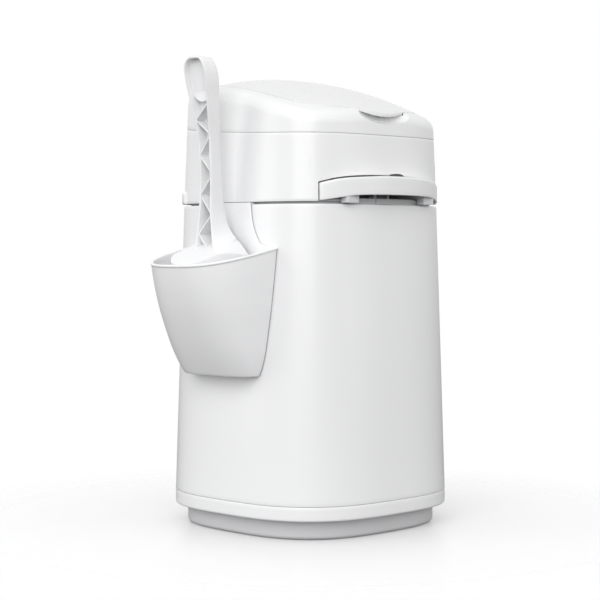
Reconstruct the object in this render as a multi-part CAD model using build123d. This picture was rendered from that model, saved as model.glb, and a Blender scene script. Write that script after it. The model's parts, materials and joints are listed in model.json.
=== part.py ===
from build123d import *
import os
import math

# Litter disposal pail with scoop. Frame: origin at the centre of the base on
# the floor, +Z up, pull handle towards -Y, scoop holder on the -X side.
# All lengths in millimetres.

# ---------------------------------------------------------------- dimensions
PLINTH_A, PLINTH_B = 107.4, 106.65      # plinth half sizes
Z_PLINTH = 18.3                         # plinth height
BASE_A, BASE_B, BASE_N = 118.1, 117.3, 2.965   # half sizes and squareness at the base
Z_SEAM = 32.0                           # joint between base ring and pail
RIM_A, RIM_B, RIM_N = 104.8, 104.0, 3.777      # half sizes and squareness at the rim
Z_RIM = 306.8                           # top of the pail
Z_HEAD = 309.0                          # bottom of the tilting head
WALL = 2.4                              # moulded wall
HEAD_DRAFT = 2.2 / 65.0                 # head side taper per mm
DOME_R = 15.0                           # dome edge radius
LID_A, LID_B, LID_N, LID_Y = 85.76, 86.43, 2.87, -6.13   # lid outline
GAP_LID, GAP_COVER = 0.30, 0.45         # lid seam, each side of the outline
YC = -4.0                               # line where the jaws meet
TRAVEL = 40.0                           # pull handle travel
MODULE, TEETH = 1.25, 16                # pinions
PINION_R = MODULE * TEETH / 2.0
PINION_X = 72.0
Z_TRAY0, Z_TRAY1 = 309.2, 311.2         # mechanism tray plate
Z_JAW0, Z_JAW1 = 311.5, 317.5           # jaws
Z_DECK0, Z_DECK1 = 322.0, 324.0         # guide deck
HINGE_Y, HINGE_Z = 103.0, 312.0         # head hinge axis
LIDH_Y, LIDH_Z = 83.4, 427.8            # lid hinge axis
LATCH_Y, LATCH_Z = -92.0, 316.0         # latch pivot
HANDLE_X = 79.5                         # pull handle half width
BUTTON_Y = -113.4
SPRING_X = 66.0                          # return springs

os.makedirs("parts", exist_ok=True)


def keep(shape, name):
    solids = list(shape.solids()) if not isinstance(shape, (list, tuple)) else [
        s for x in shape for s in x.solids()]
    solids = [s for s in solids if s.volume > 1.0]
    body = solids[0] if len(solids) == 1 else Compound(children=solids)
    export_step(body, os.path.join("parts", name + ".step"))


# ------------------------------------------------------------------- helpers
def se_points(a, b, n, cx=0.0, cy=0.0, count=40):
    out = []
    for i in range(count):
        t = 2.0 * math.pi * i / count
        c, s = math.cos(t), math.sin(t)
        r = (abs(c / a) ** n + abs(s / b) ** n) ** (-1.0 / n)
        out.append((cx + r * c, cy + r * s))
    return out


def se_wire(a, b, n, z, cx=0.0, cy=0.0, count=40):
    pts = [Vector(x, y, z) for x, y in se_points(a, b, n, cx, cy, count)]
    return Wire([Edge.make_spline(pts, periodic=True)])


def frustum(lo, hi):
    return Solid.make_loft([lo, hi], True)


def prism(wire, h):
    return Solid.extrude(Face(wire), Vector(0, 0, h))


def box(x0, x1, y0, y1, z0, z1):
    return Solid.make_box(x1 - x0, y1 - y0, z1 - z0, Plane((x0, y0, z0)))


def cyl(r, x, y, z0, z1):
    return Solid.make_cylinder(r, z1 - z0, Plane((x, y, z0)))


def cyl_x(r, x0, x1, y, z):
    return Solid.make_cylinder(r, x1 - x0, Plane(origin=(x0, y, z), z_dir=(1, 0, 0)))


def cyl_y(r, y0, y1, x, z):
    return Solid.make_cylinder(r, y1 - y0, Plane(origin=(x, y0, z), z_dir=(0, 1, 0)))


def join(first, *more):
    out = first
    for m in more:
        out = out + m
    return out


def poly_yz(points, x0, x1):
    w = Wire.make_polygon([Vector(x0, y, z) for y, z in points], close=True)
    return Solid.extrude(Face(w), Vector(x1 - x0, 0, 0))


def poly_xz(points, y0, y1):
    w = Wire.make_polygon([Vector(x, y0, z) for x, z in points], close=True)
    return Solid.extrude(Face(w), Vector(0, y1 - y0, 0))


def poly_xy(points, z0, z1):
    w = Wire.make_polygon([Vector(x, y, z0) for x, y in points], close=True)
    return Solid.extrude(Face(w), Vector(0, 0, z1 - z0))


def spline_face(points, to3, closers):
    # one smooth spline through the points, closed by straight lines
    e = [Edge.make_spline([to3(*p) for p in points])]
    chain = [points[-1]] + closers + [points[0]]
    for p, q in zip(chain[:-1], chain[1:]):
        e.append(Edge.make_line(to3(*p), to3(*q)))
    return Face(Wire(e))


def mirror_x(shape):
    return shape.mirror(Plane.YZ)


# ------------------------------------------------------- pail and head walls
def half(z, off=0.0):
    if z <= Z_RIM:
        t = (z - Z_SEAM) / (Z_RIM - Z_SEAM)
        return (BASE_A + (RIM_A - BASE_A) * t - off,
                BASE_B + (RIM_B - BASE_B) * t - off,
                BASE_N + (RIM_N - BASE_N) * max(t, 0.0))
    k = (z - Z_RIM) * HEAD_DRAFT
    return RIM_A - k - off, RIM_B - k - off, RIM_N


def pail_loft(z0, z1, off=0.0):
    a, b, n = half(z0, off)
    c, d, m = half(z1, off)
    return frustum(se_wire(a, b, n, z0), se_wire(c, d, m, z1))


def wall_x(y, z):
    a, b, n = half(z)
    return a * (1.0 - min(0.999, abs(y) / b) ** n) ** (1.0 / n)


def top_z(x, y):
    v = y / 100.0
    return 427.97 + 17.87 * v - 19.51 * v * v - 2.73 * v ** 3 - 16.27 * abs(x / 100.0) ** 2.2


def seam_z(y):
    return 371.3 + 3.2e-4 * (y + 100.0) ** 2


def poly_fit(f, deg, lo, hi):
    # Bernstein coefficients of a least squares polynomial through f on lo..hi
    m = 4 * deg + 1
    ts = [0.5 - 0.5 * math.cos(math.pi * (i + 0.5) / m) for i in range(m)]
    basis = [[math.comb(deg, k) * t ** k * (1 - t) ** (deg - k) for k in range(deg + 1)] for t in ts]
    val = [f(lo + (hi - lo) * t) for t in ts]
    n = deg + 1
    A = [[sum(r[i] * r[j] for r in basis) for j in range(n)] for i in range(n)]
    y = [sum(r[i] * v for r, v in zip(basis, val)) for i in range(n)]
    for i in range(n):
        p = max(range(i, n), key=lambda q: abs(A[q][i]))
        A[i], A[p], y[i], y[p] = A[p], A[i], y[p], y[i]
        for q in range(i + 1, n):
            g = A[q][i] / A[i][i]
            for j in range(i, n):
                A[q][j] -= g * A[i][j]
            y[q] -= g * y[i]
    out = [0.0] * n
    for i in reversed(range(n)):
        out[i] = (y[i] - sum(A[i][j] * out[j] for j in range(i + 1, n))) / A[i][i]
    return out


def top_offset(x, y, off):
    # height of the dome surface moved down by off along its normal
    px, py = x, y
    for _ in range(6):
        h = 0.05
        gx = (top_z(px + h, py) - top_z(px - h, py)) / (2 * h)
        gy = (top_z(px, py + h) - top_z(px, py - h)) / (2 * h)
        k = off / math.sqrt(1 + gx * gx + gy * gy)
        px, py = x - gx * k, y - gy * k
    return top_z(px, py) - k


def dome(off):
    # head volume inset by off: tapered walls, domed top and a rounded edge
    walls = pail_loft(340.0, 446.0, off)
    S, DX, DY = 119.0, 6, 5
    along_y = [poly_fit(lambda y, x=x: top_offset(x, y, off), DY, -S, S)
               for x in [-S + 2 * S * i / 24.0 for i in range(25)]]
    ctrl = [[None] * (DY + 1) for _ in range(DX + 1)]
    for j in range(DY + 1):
        col = poly_fit(lambda x, j=j: along_y[max(0, min(24, int(round((x + S) / (2 * S) * 24))))][j]
                       if abs(((x + S) / (2 * S) * 24) - round((x + S) / (2 * S) * 24)) < 1e-9 else
                       poly_fit(lambda y: top_offset(x, y, off), DY, -S, S)[j], DX, -S, S)
        for i in range(DX + 1):
            ctrl[i][j] = Vector(-S + 2 * S * i / DX, -S + 2 * S * j / DY, col[i])
    face = Face.make_bezier_surface(ctrl)
    cap = Solid.extrude(face, Vector(0, 0, 90))
    body = (walls - cap).solids()[0]
    rim = [e for e in body.edges()
           if (e @ 0.0).Z > 372 and (e @ 1.0).Z > 372 and (e @ 0.5).Z > 372 and (e @ 0.3).Z > 372]
    return body.fillet(DOME_R - off, rim)


def dome_z(x, y):
    r = (abs(x / 102.4) ** 3.78 + abs(y / 101.6) ** 3.78) ** (1 / 3.78)
    zr = seam_z(y)
    return zr + (top_z(x, y) - zr) * max(0.0, 1 - min(r, 1.0) ** 8.48) ** (1 / 8.48)


def inner_roof(off):
    # faceted volume inside the dome, its flats parallel for every inset
    body = box(-125, 125, -125, 125, 340, 440)
    spots = [(0.0, 0.0)]
    for r, m in ((0.3, 8), (0.55, 12), (0.75, 16), (0.87, 20), (0.94, 20), (0.975, 20)):
        for i in range(m):
            t = 2 * math.pi * (i + 0.5) / m
            q = (abs(math.cos(t) / 102.4) ** 3.78 + abs(math.sin(t) / 101.6) ** 3.78) ** (-1 / 3.78)
            spots.append((r * q * math.cos(t), r * q * math.sin(t)))
    planes = []
    for x, y in spots:
        h = 0.02
        gx = (dome_z(x + h, y) - dome_z(x - h, y)) / (2 * h)
        gy = (dome_z(x, y + h) - dome_z(x, y - h)) / (2 * h)
        planes.append((Vector(x, y, dome_z(x, y)), Vector(-gx, -gy, 1.0)))
    for i in range(28):
        t = 2 * math.pi * (i + 0.5) / 28
        c, s = math.cos(t), math.sin(t)
        a, b, n = half(378.0)
        q = (abs(c / a) ** n + abs(s / b) ** n) ** (-1 / n)
        x, y = q * c, q * s
        g = Vector(math.copysign(abs(x / a) ** (n - 1) / a, x), math.copysign(abs(y / b) ** (n - 1) / b, y), 0)
        g = g.normalized() + Vector(0, 0, HEAD_DRAFT)
        planes.append((Vector(x, y, 378.0), g))
    for p, n in planes:
        n = n.normalized()
        o = p - n * off
        body = body - slab_above(o, n)
    return body


def slab_above(o, n):
    pl = Plane(origin=o, z_dir=n)
    corner = pl.from_local_coords(Vector(-400, -400, 0))
    return Solid.make_box(800, 800, 300, Plane(origin=corner, x_dir=pl.x_dir, z_dir=n))


def lid_prism(off, z0=300.0, h=160.0):
    return prism(se_wire(LID_A + off, LID_B + off, LID_N, z0, 0.0, LID_Y), h)


# front lip of the lid, drawn out over the thumb recess
LIP = [(40.5, -88.0), (37.0, -90.4), (33.0, -92.8), (27.0, -95.1), (20.5, -96.8), (13.5, -98.1), (7.0, -98.9), (0.0, -99.1)]


def lip_prism(off, z0=300.0, h=160.0):
    k = (40.5 + 0.7 * off) / 40.5
    pts = [(x * k, y - off) for x, y in LIP]
    pts = pts + [(-x, y) for x, y in reversed(pts[:-1])]
    e = [Edge.make_spline([Vector(x, y, z0) for x, y in pts])]
    chain = [pts[-1], (pts[-1][0], -80.0), (pts[0][0], -80.0), pts[0]]
    e += [Edge.make_line(Vector(p[0], p[1], z0), Vector(q[0], q[1], z0)) for p, q in zip(chain[:-1], chain[1:])]
    return Solid.extrude(Face(Wire(e)), Vector(0, 0, h))


# ===================================================================== BASE
base_pan = prism(se_wire(PLINTH_A, PLINTH_B, BASE_N, 0), Z_PLINTH)
base_pan = base_pan.fillet(4.0, [e for e in base_pan.edges() if e.center().Z < 0.1 and abs((e @ 0.5).Z) < 0.1 and (e @ 0.0).Z < 0.1 and (e @ 1.0).Z < 0.1])
base_pan = base_pan - prism(se_wire(PLINTH_A - 2.5, PLINTH_B - 2.5, BASE_N, 2.6), 40)
keep(base_pan, "base_pan")

base_ring = prism(se_wire(BASE_A, BASE_B, BASE_N, Z_PLINTH), Z_SEAM - Z_PLINTH)
base_ring = base_ring.fillet(2.2, [e for e in base_ring.edges() if (e @ 0.0).Z < Z_PLINTH + 0.1 and (e @ 0.5).Z < Z_PLINTH + 0.1 and (e @ 0.25).Z < Z_PLINTH + 0.1])
base_ring = base_ring - prism(se_wire(BASE_A - 2.6, BASE_B - 2.6, BASE_N, Z_PLINTH + 2.6), 40)
base_ring = base_ring - prism(se_wire(PLINTH_A - 5.0, PLINTH_B - 5.0, BASE_N, 10), 40)
keep(base_ring, "base_ring")

# ===================================================================== PAIL
pail = pail_loft(Z_SEAM, Z_RIM) - pail_loft(Z_SEAM + 2.6, Z_RIM + 6.0, WALL)
# rear hinge ears moulded on the pail
EAR = [(96.8, 284.0), (102.6, 280.0), (103.4, 306.0), (106.2, 310.4), (99.8, 312.0), (98.2, 306.0)]
for sx in (-1, 1):
    x0 = sx * 30.0 - 4.0
    ear = poly_yz(EAR, x0, x0 + 8.0) + cyl_x(3.6, x0, x0 + 8.0, HINGE_Y, HINGE_Z)
    pail = pail + ear
    pail = pail - cyl_x(1.5, x0 - 0.5, x0 + 8.5, HINGE_Y, HINGE_Z)
keep(pail, "pail_body")

# hinge pins, pressed into the ears
keep([cyl_x(1.5, sx * 30.0 - 9.4, sx * 30.0 + 9.4, HINGE_Y, HINGE_Z) for sx in (-1, 1)],
     "rear_hinge_pins")

# latch strike on the inside of the front wall
inner_wall = pail_loft(270.0, 306.0, WALL - 0.02)
strike = (box(-9, 9, -106, -98.8, 293.2, 295.6) + box(-9, 9, -106, -101.1, 279.0, 295.6)) & inner_wall
keep(strike, "latch_strike")

# film cutter on the inside of the right wall
cutter_wall = pail_loft(240.0, 306.0, WALL - 0.02)
cutter = box(86.0, 110.0, -17.0, 17.0, 262.0, 284.0) & cutter_wall
cutter = cutter - box(80.0, 96.5, -18.0, 18.0, 270.6, 274.0)
cutter = cutter - box(90.0, 97.5, -12.0, 12.0, 268.4, 276.2)
keep(cutter, "film_cutter_body")
keep(poly_xz([(90.6, 271.2), (97.5, 268.4), (97.5, 269.3), (91.2, 272.0)], -11.9, 11.9), "film_cutter_blade")

# ============================================================= SCOOP HOLDER
# pocket half width and depth at each height
POCKET = [(149.0, 41.5, 20.5, 3.0), (156.0, 47.5, 26.5, 3.0), (165.0, 50.8, 33.0, 3.0), (178.0, 53.6, 42.0, 2.95),
          (192.0, 55.4, 50.0, 2.9), (207.0, 57.2, 57.0, 2.85), (223.0, 58.6, 63.2, 2.8),
          (240.0, 60.0, 68.4, 2.75), (257.0, 61.2, 72.2, 2.7), (274.0, 62.0, 75.6, 2.7)]
RIM_TILT = 0.223
Z_POCKET = 267.1
SINK = 10.0


def pocket_wires(off, z_low=None):
    out = []
    for z, w, d, m in POCKET:
        zz = z if z_low is None else max(z, z_low)
        a = half(z)[0]
        out.append(se_wire(d + SINK - off, w - off, m, zz if z == POCKET[0][0] else z,
                           -(a - SINK), 0.0, 32))
    return out


def tilted_half(z_at_wall, up):
    # half space below (up=-1) or above (up=1) the tilted pocket rim plane
    pts = [(-90.0, z_at_wall + RIM_TILT * 14.8), (-200.0, z_at_wall - RIM_TILT * 95.2)]
    far = -1000.0 if up < 0 else 1000.0
    return poly_xz([pts[0], pts[1], (-200.0, far), (-90.0, far)], -90, 90)


pocket_out = Solid.make_loft(pocket_wires(0.0), False)
bottom_edges = [e for e in pocket_out.edges() if (e @ 0.0).Z < 149.5 and (e @ 0.5).Z < 149.5 and (e @ 0.3).Z < 149.5]
try:
    pocket_out = pocket_out.fillet(3.0, bottom_edges)
except Exception:
    pass
pocket_in = Solid.make_loft(pocket_wires(2.0, 151.5), False)
pocket_lip = Solid.make_loft(pocket_wires(-0.8), False)
near = box(-150, -60, -70, 70, 130, 320)


def skin_at(off, z0=140.0, z1=Z_RIM, z1_as=None):
    return frustum(se_wire(*half(z0, off), z0), se_wire(*half(z1, off), z1 if z1_as is None else z1_as)) & near


pail_skin = skin_at(-0.05)
back_skin = skin_at(-1.65)
rimmed = pocket_out & tilted_half(Z_POCKET, -1)
lip = (pocket_lip & tilted_half(Z_POCKET, -1)) & tilted_half(Z_POCKET - 2.6, 1)
pocket = (rimmed + lip) - pocket_in - back_skin
STRAP = [(29.0, 306.8), (31.3, 293.0), (36.4, 280.0), (41.1, 272.6), (46.4, 269.4), (57.0, 267.2), (60.5, 266.5)]
strap_face = Face(Wire([
    Edge.make_spline([Vector(-140, -y, z) for y, z in STRAP]),
    Edge.make_line(Vector(-140, -60.5, 266.5), Vector(-140, -60.5, 262.0)),
    Edge.make_line(Vector(-140, -60.5, 262.0), Vector(-140, 60.5, 262.0)),
    Edge.make_line(Vector(-140, 60.5, 262.0), Vector(-140, 60.5, 266.5)),
    Edge.make_spline([Vector(-140, y, z) for y, z in reversed(STRAP)]),
    Edge.make_line(Vector(-140, 29.0, 306.8), Vector(-140, -29.0, 306.8))]))
strap_zone = Solid.extrude(strap_face, Vector(60, 0, 0))
strap = (back_skin & strap_zone) - pail_skin
back_plate = (back_skin & pocket_out & box(-200, -90, -80, 80, 140, 263.0)) - pail_skin
# hook over the pail rim
hook_zone = box(-140, -80, -28.9, 28.9, 297.0, 308.6)
hook = (skin_at(-1.65, 296.0, Z_RIM, 308.6) & hook_zone) - skin_at(4.1, 290.0, Z_RIM, 312.0)
hook = hook - (skin_at(-0.05, 290.0, Z_RIM, Z_RIM + 0.05) - skin_at(2.5, 290.0, Z_RIM, 312.0))
holder = join(pocket, back_plate, strap, hook)
keep(holder, "scoop_holder")

# ==================================================================== SCOOP
HW = [(8.6, 300.0), (8.2, 312.0), (8.1, 330.0), (8.1, 350.0), (8.4, 365.0), (9.1, 375.0), (10.1, 384.0),
      (11.4, 393.0), (12.8, 404.5), (13.9, 414.0), (14.5, 423.0), (14.2, 430.0), (12.4, 436.0),
      (8.6, 440.3), (4.2, 441.5)]
BAND = 2.0


def offset_line(points, d):
    out = []
    for i, (y, z) in enumerate(points):
        p, q = points[max(i - 1, 0)], points[min(i + 1, len(points) - 1)]
        ty, tz = q[0] - p[0], q[1] - p[1]
        k = math.hypot(ty, tz)
        out.append((y - d * tz / k, z + d * ty / k))
    return out


def yz(y, z, x=-170.0):
    return Vector(x, y, z)


right_side = [(16.0, 256.0), (13.6, 266.0), (11.4, 278.0), (9.8, 290.0)] + HW
full = right_side + [(0.0, 441.7)] + [(-y, z) for y, z in reversed(right_side)]
inner_full = offset_line(full, BAND)
outer_face = spline_face(full, yz, [])
inner_face = spline_face(inner_full, yz, [(inner_full[-1][0], 250.0), (inner_full[0][0], 250.0)])
outer_prism = Solid.extrude(outer_face, Vector(80, 0, 0))
inner_prism = Solid.extrude(inner_face, Vector(80, 0, 0))
band = outer_prism - inner_prism
XO = [(137.4, 250.0), (137.2, 262.0), (137.2, 275.0), (136.9, 290.0), (136.3, 310.0), (135.8, 330.0), (136.6, 350.0), (137.4, 365.0),
      (138.5, 374.0), (140.3, 384.0), (142.4, 393.0), (144.2, 404.0), (146.0, 412.0), (147.4, 419.0), (149.0, 427.0),
      (150.2, 434.0), (150.9, 443.0)]
XI = [(115.2, 250.0), (115.4, 262.0), (115.8, 270.0), (116.6, 283.0), (118.2, 292.0), (119.6, 302.0), (120.4, 312.0), (121.3, 325.0),
      (122.6, 338.0), (123.6, 350.0), (124.4, 365.0), (125.2, 374.0), (126.4, 384.0), (128.0, 393.0), (129.3, 404.0),
      (130.5, 412.0), (131.5, 420.0), (132.9, 428.0), (134.6, 434.0), (135.6, 443.0)]


def xz_band(outer, inner, y0=-60.0, y1=60.0):
    e1 = Edge.make_spline([Vector(-x, y0, z) for x, z in outer])
    e2 = Edge.make_spline([Vector(-x, y0, z) for x, z in inner])
    e3 = Edge.make_line(e1 @ 0.0, e2 @ 0.0)
    e4 = Edge.make_line(e1 @ 1.0, e2 @ 1.0)
    return Solid.extrude(Face(Wire([e1, e4, e2, e3])), Vector(0, y1 - y0, 0))


side_zone = xz_band(XO, XI)
handle_band = band & side_zone
# web set back between the two flanges; a dished panel nearer the front closes the bow
def dish(grow):
    e = Solid.extrude(Face(Wire([Edge.make_ellipse(14.0 + grow, 15.0 + grow, Plane(
        origin=(-190.0, 0.0, 416.0), x_dir=(0, 1, 0), z_dir=(1, 0, 0)))])), Vector(100, 0, 0))
    return e + box(-190, -90, -14.0 - grow, 14.0 + grow, 416.0, 450.0)


web_zone = xz_band([(x + 3.6, z) for x, z in XI], [(x + 2.0, z) for x, z in XI])
web_out = (outer_prism & web_zone & box(-200, -100, -40, 40, 250, 441.0)) - dish(-1.4)
dish_front = outer_prism & dish(0.0) & xz_band([(x - 5.0, z) for x, z in XO], [(x - 6.6, z) for x, z in XO])
dish_rim = (outer_prism & (dish(0.0) - dish(-1.4))) & xz_band([(x - 5.0, z) for x, z in XO], [(x + 2.0, z) for x, z in XI])
# zig-zag ribs
rib_zone = xz_band([(x - 0.9, z) for x, z in XO], [(x + 2.2, z) for x, z in XI])
ZIG = [(-9.5, 398.0), (9.0, 384.0), (-8.0, 370.5), (8.0, 352.0), (-8.0, 334.0), (8.0, 315.5), (-8.0, 297.0), (9.5, 279.5), (-6.0, 262.0)]
ribs = None
for (y0, z0), (y1, z1) in zip(ZIG[:-1], ZIG[1:]):
    L = math.hypot(y1 - y0, z1 - z0)
    ny, nz = -(z1 - z0) / L * 0.65, (y1 - y0) / L * 0.65
    r = poly_yz([(y0 - ny, z0 - nz), (y1 - ny, z1 - nz), (y1 + ny, z1 + nz), (y0 + ny, z0 + nz)], -170, -90)
    ribs = r if ribs is None else ribs + r
ribs = ribs & rib_zone & outer_prism
# shoulders where the handle flares into the blade
SHOULDER = [(8.4, 306.0), (8.8, 300.0), (9.9, 292.0), (12.6, 285.0), (17.5, 278.5), (23.2, 273.4), (30.0, 267.0), (35.3, 261.6)]


def shoulder_region(t, x0, x1):
    # region under the shoulder line, set in by t
    c = offset_line(SHOULDER, -t) if t else list(SHOULDER)
    far = (60.0, 240.0 - 1.35 * t)
    chain = [c[-1], far, (-far[0], far[1]), (-c[-1][0], c[-1][1])]
    e = [Edge.make_spline([Vector(x0, y, z) for y, z in c])]
    e += [Edge.make_line(Vector(x0, p[0], p[1]), Vector(x0, q[0], q[1])) for p, q in zip(chain[:-1], chain[1:])]
    e += [Edge.make_spline([Vector(x0, -y, z) for y, z in reversed(c)]),
          Edge.make_line(Vector(x0, -c[0][0], c[0][1]), Vector(x0, c[0][0], c[0][1]))]
    return Solid.extrude(Face(Wire(e)), Vector(x1 - x0, 0, 0))


shoulder = shoulder_region(0.0, -150.0, -100.0) & xz_band(
    [(x + 2.2, z) for x, z in XI], [(x, z) for x, z in XI]) & box(-200, -100, -36, 36, 250, 310)
shoulder = shoulder + (shoulder_region(0.0, -150.0, -100.0) & box(-117.8, -115.4, -35.2, 35.2, 250, 264))
# blade: open towards the pail and at its lower mouth
BLADE = [(160.0, 24.0, 15.5, 2.3, -117.5), (180.0, 27.5, 25.0, 2.3, -116.8), (205.0, 31.0, 36.0, 2.3, -116.2),
         (230.0, 33.8, 45.5, 2.3, -115.8), (255.0, 36.0, 51.5, 2.3, -115.5), (285.0, 37.5, 55.0, 2.3, -115.4)]


def blade_wires(off, dz=0.0):
    return [se_wire(d - off, w - off, m, z + (dz if i == 0 else 0.0), cx, 0.0, 32)
            for i, (z, w, d, m, cx) in enumerate(BLADE)]


blade_cut = poly_xz([(-117.5, 150.0), (-115.4, 290.0), (-60.0, 290.0), (-60.0, 150.0)], -60, 60)
deck_below = poly_xz([(-100.0, 285.4), (-175.0, 247.2), (-175.0, 100.0), (-100.0, 100.0)], -60, 60)
deck_inner = poly_xz([(-100.0, 282.9), (-175.0, 244.7), (-175.0, 100.0), (-100.0, 100.0)], -60, 60)
blade = ((Solid.make_loft(blade_wires(0.0), False) - blade_cut) & deck_below)
blade = blade - (Solid.make_loft(blade_wires(2.0, -2.0), False) & deck_inner)
blade = blade & box(-200, -100, -60, 60, 150, 300)
side_trim = box(-190, -90, 0.0, 60.0, 240.0, 330.0) - shoulder_region(0.0, -200.0, -80.0)
blade = blade - side_trim - side_trim.mirror(Plane.XZ)
# level wall that carries the deck out to the shoulder line
ledge = (shoulder_region(0.0, -175.0, -115.4) - shoulder_region(2.0, -180.0, -110.0)) & deck_below
ledge = ledge & Solid.make_loft(blade_wires(0.0), False) & box(-175, -115.4, -60, 60, 250, 300)
for y in (-22.0, -11.0, 0.0, 11.0, 22.0):
    blade = blade - box(-200, -118.5, y - 2.6, y + 2.6, 172.0, 233.0)
scoop = join(handle_band - deck_inner, web_out - deck_inner, dish_front, dish_rim, ribs - deck_inner, shoulder,
             ledge, blade)
keep(scoop, "scoop")

# ===================================================================== HEAD
D0 = dome(0.0)
R19 = inner_roof(1.95)
R23 = inner_roof(2.30)
R44 = inner_roof(4.40)
seam_pts = [(-135.0 + 27.0 * i, seam_z(-135.0 + 27.0 * i)) for i in range(11)]
seam_face = Face(Wire([
    Edge.make_spline([Vector(-140, y, z) for y, z in seam_pts]),
    Edge.make_line(Vector(-140, 135, seam_pts[-1][1]), Vector(-140, 135, 280)),
    Edge.make_line(Vector(-140, 135, 280), Vector(-140, -135, 280)),
    Edge.make_line(Vector(-140, -135, 280), Vector(-140, -135, seam_pts[0][1]))]))
below_seam = Solid.extrude(seam_face, Vector(280, 0, 0))

ring = pail_loft(Z_HEAD, 392.0) - pail_loft(Z_HEAD - 4.0, 396.0, WALL)
ring = ring & below_seam
ring_solid_zone = pail_loft(Z_HEAD, 350.0)
# arched opening for the pull handle
ARCH = [(-80.4, 326.6), (-68.0, 329.9), (-52.0, 332.2), (-34.0, 333.5), (0.0, 334.1), (34.0, 333.5), (52.0, 332.2), (68.0, 329.9), (80.4, 326.6)]
arch_face = Face(Wire([
    Edge.make_spline([Vector(x, -130, z) for x, z in ARCH]),
    Edge.make_line(Vector(80.4, -130, 326.6), Vector(80.4, -130, 300)),
    Edge.make_line(Vector(80.4, -130, 300), Vector(-80.4, -130, 300)),
    Edge.make_line(Vector(-80.4, -130, 300), Vector(-80.4, -130, 326.6))]))
ring = ring - Solid.extrude(arch_face, Vector(0, 50, 0))
# rounded rear band that covers the hinge
band_out = frustum(se_wire(RIM_A + 2.3, RIM_B + 2.3, RIM_N, Z_HEAD), se_wire(RIM_A + 2.2, RIM_B + 2.2, RIM_N, 320.6))
band_out = band_out.fillet(1.9, [e for e in band_out.edges() if ((e @ 0.0).Z > 320 and (e @ 0.5).Z > 320 and (e @ 0.3).Z > 320) or ((e @ 0.0).Z < 309.5 and (e @ 0.5).Z < 309.5 and (e @ 0.3).Z < 309.5)])
band_in = pail_loft(Z_RIM + 0.01, 330.0, 0.6)
rear_zone = box(-140, 140, 71.0, 140, 300, 330)
rear_band = (band_out - band_in) & rear_zone
ring = ring + rear_band
# hinge lugs each side of the ears
for sx in (-1, 1):
    c = sx * 30.0
    ring = ring - box(c - 4.5, c + 4.5, 90, 112, 300, 317.5)
    for x0, x1 in ((c - 9.6, c - 4.4), (c + 4.4, c + 9.6)):
        ring = ring + cyl_x(3.3, x0, x1, HINGE_Y, HINGE_Z)
    ring = ring - cyl_x(1.56, c - 10.5, c + 10.5, HINGE_Y, HINGE_Z)
# screw bosses in the corners
for sx in (-1, 1):
    for sy in (-1, 1):
        boss = cyl(4.5, sx * 76, sy * 76, Z_DECK1, 346)
        g = poly_xy([(sx * 77.0 - sx * 1.1, sy * 77.0 + sy * 1.1), (sx * 77.0 + sx * 1.1, sy * 77.0 - sy * 1.1),
                     (sx * 85.5 + sx * 1.1, sy * 85.5 - sy * 1.1), (sx * 85.5 - sx * 1.1, sy * 85.5 + sy * 1.1)], Z_DECK1 + 0.5, 346)
        ring = ring + boss + (g & ring_solid_zone)
        ring = ring - cyl(1.5, sx * 76, sy * 76, Z_DECK1 - 1, 342)
keep(ring, "head_ring")

cover = D0 - below_seam
cover = cover - (lid_prism(GAP_COVER) - R23) - (lip_prism(GAP_COVER, 384.0, 76.0) - R23) - lid_prism(-4.0)
cover = cover - R44
# thumb recess under the front lip of the lid
recess = scale(Solid.make_sphere(1.0), by=(38.0, 12.0, 14.5)).translate(Vector(0, -101.6, 396.0)).solid()
recess_back = scale(Solid.make_sphere(1.0), by=(40.2, 14.2, 16.7)).translate(Vector(0, -101.6, 396.0)).solid()
recess_clear = box(-41.5, 41.5, -120.0, -87.2, 376.0, 400.0)
cover = cover + (((recess_back & D0) & R23 & box(-50, 50, -120, -80, 376, 400)) - lid_prism(-4.0))
cover = cover - (recess & box(-50, 50, -120, -80, 370, 420))
# recess behind the lid for the hinge barrel
cover = cover - (box(-14.3, 14.3, 76.0, 84.0, 423.6, 440) + cyl_x(3.3, -14.3, 14.3, LIDH_Y, LIDH_Z))
for x0, x1 in ((-24.0, -14.6), (14.6, 24.0)):
    knuckle = cyl_x(2.7, x0, x1, LIDH_Y, LIDH_Z) + box(x0, x1, LIDH_Y - 2.2, LIDH_Y + 4.0, 420.5, LIDH_Z - 1.6)
    cover = cover + knuckle
cover = cover - cyl_x(1.5, -24.5, 24.5, LIDH_Y, LIDH_Z)
keep(cover, "head_cover")
keep(cyl_x(1.5, -23.8, 23.8, LIDH_Y, LIDH_Z), "lid_hinge_pin")

# ====================================================================== LID
lid = ((lid_prism(-GAP_LID, 350.0, 100.0) + lip_prism(-GAP_LID, 350.0, 100.0)) & D0) - R19
lid = lid - poly_yz([(-110.0, 370.0), (-110.0, 381.2), (-99.5, 388.4), (-92.0, 393.6), (-90.0, 370.0)], -45, 45)
lid = lid - box(-30, 30, 80.9, 100, 400, 460)
lid_knuckle = cyl_x(2.6, -13.9, 13.9, LIDH_Y, LIDH_Z) + poly_yz(
    [(76.6, 427.4), (LIDH_Y, LIDH_Z + 2.5), (LIDH_Y, LIDH_Z - 2.5), (80.4, 424.9), (76.6, 425.3)], -13.9, 13.9)
lid = lid - (cyl_x(2.9, -24.6, -13.9, LIDH_Y, LIDH_Z) + cyl_x(2.9, 13.9, 24.6, LIDH_Y, LIDH_Z))
lid = lid + lid_knuckle - cyl_x(1.56, -15, 15, LIDH_Y, LIDH_Z)
keep(lid, "lid_shell")
R32 = inner_roof(3.2)
gasket = (((lid_prism(-5.2, 350.0, 100.0) - lid_prism(-7.6, 340.0, 120.0)) & R19) - R44)
keep(gasket, "lid_gasket")
liner = ((lid_prism(-7.7, 350.0, 100.0) & R19) - R44) - (lid_prism(-9.6, 350.0, 100.0) - R32)
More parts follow.
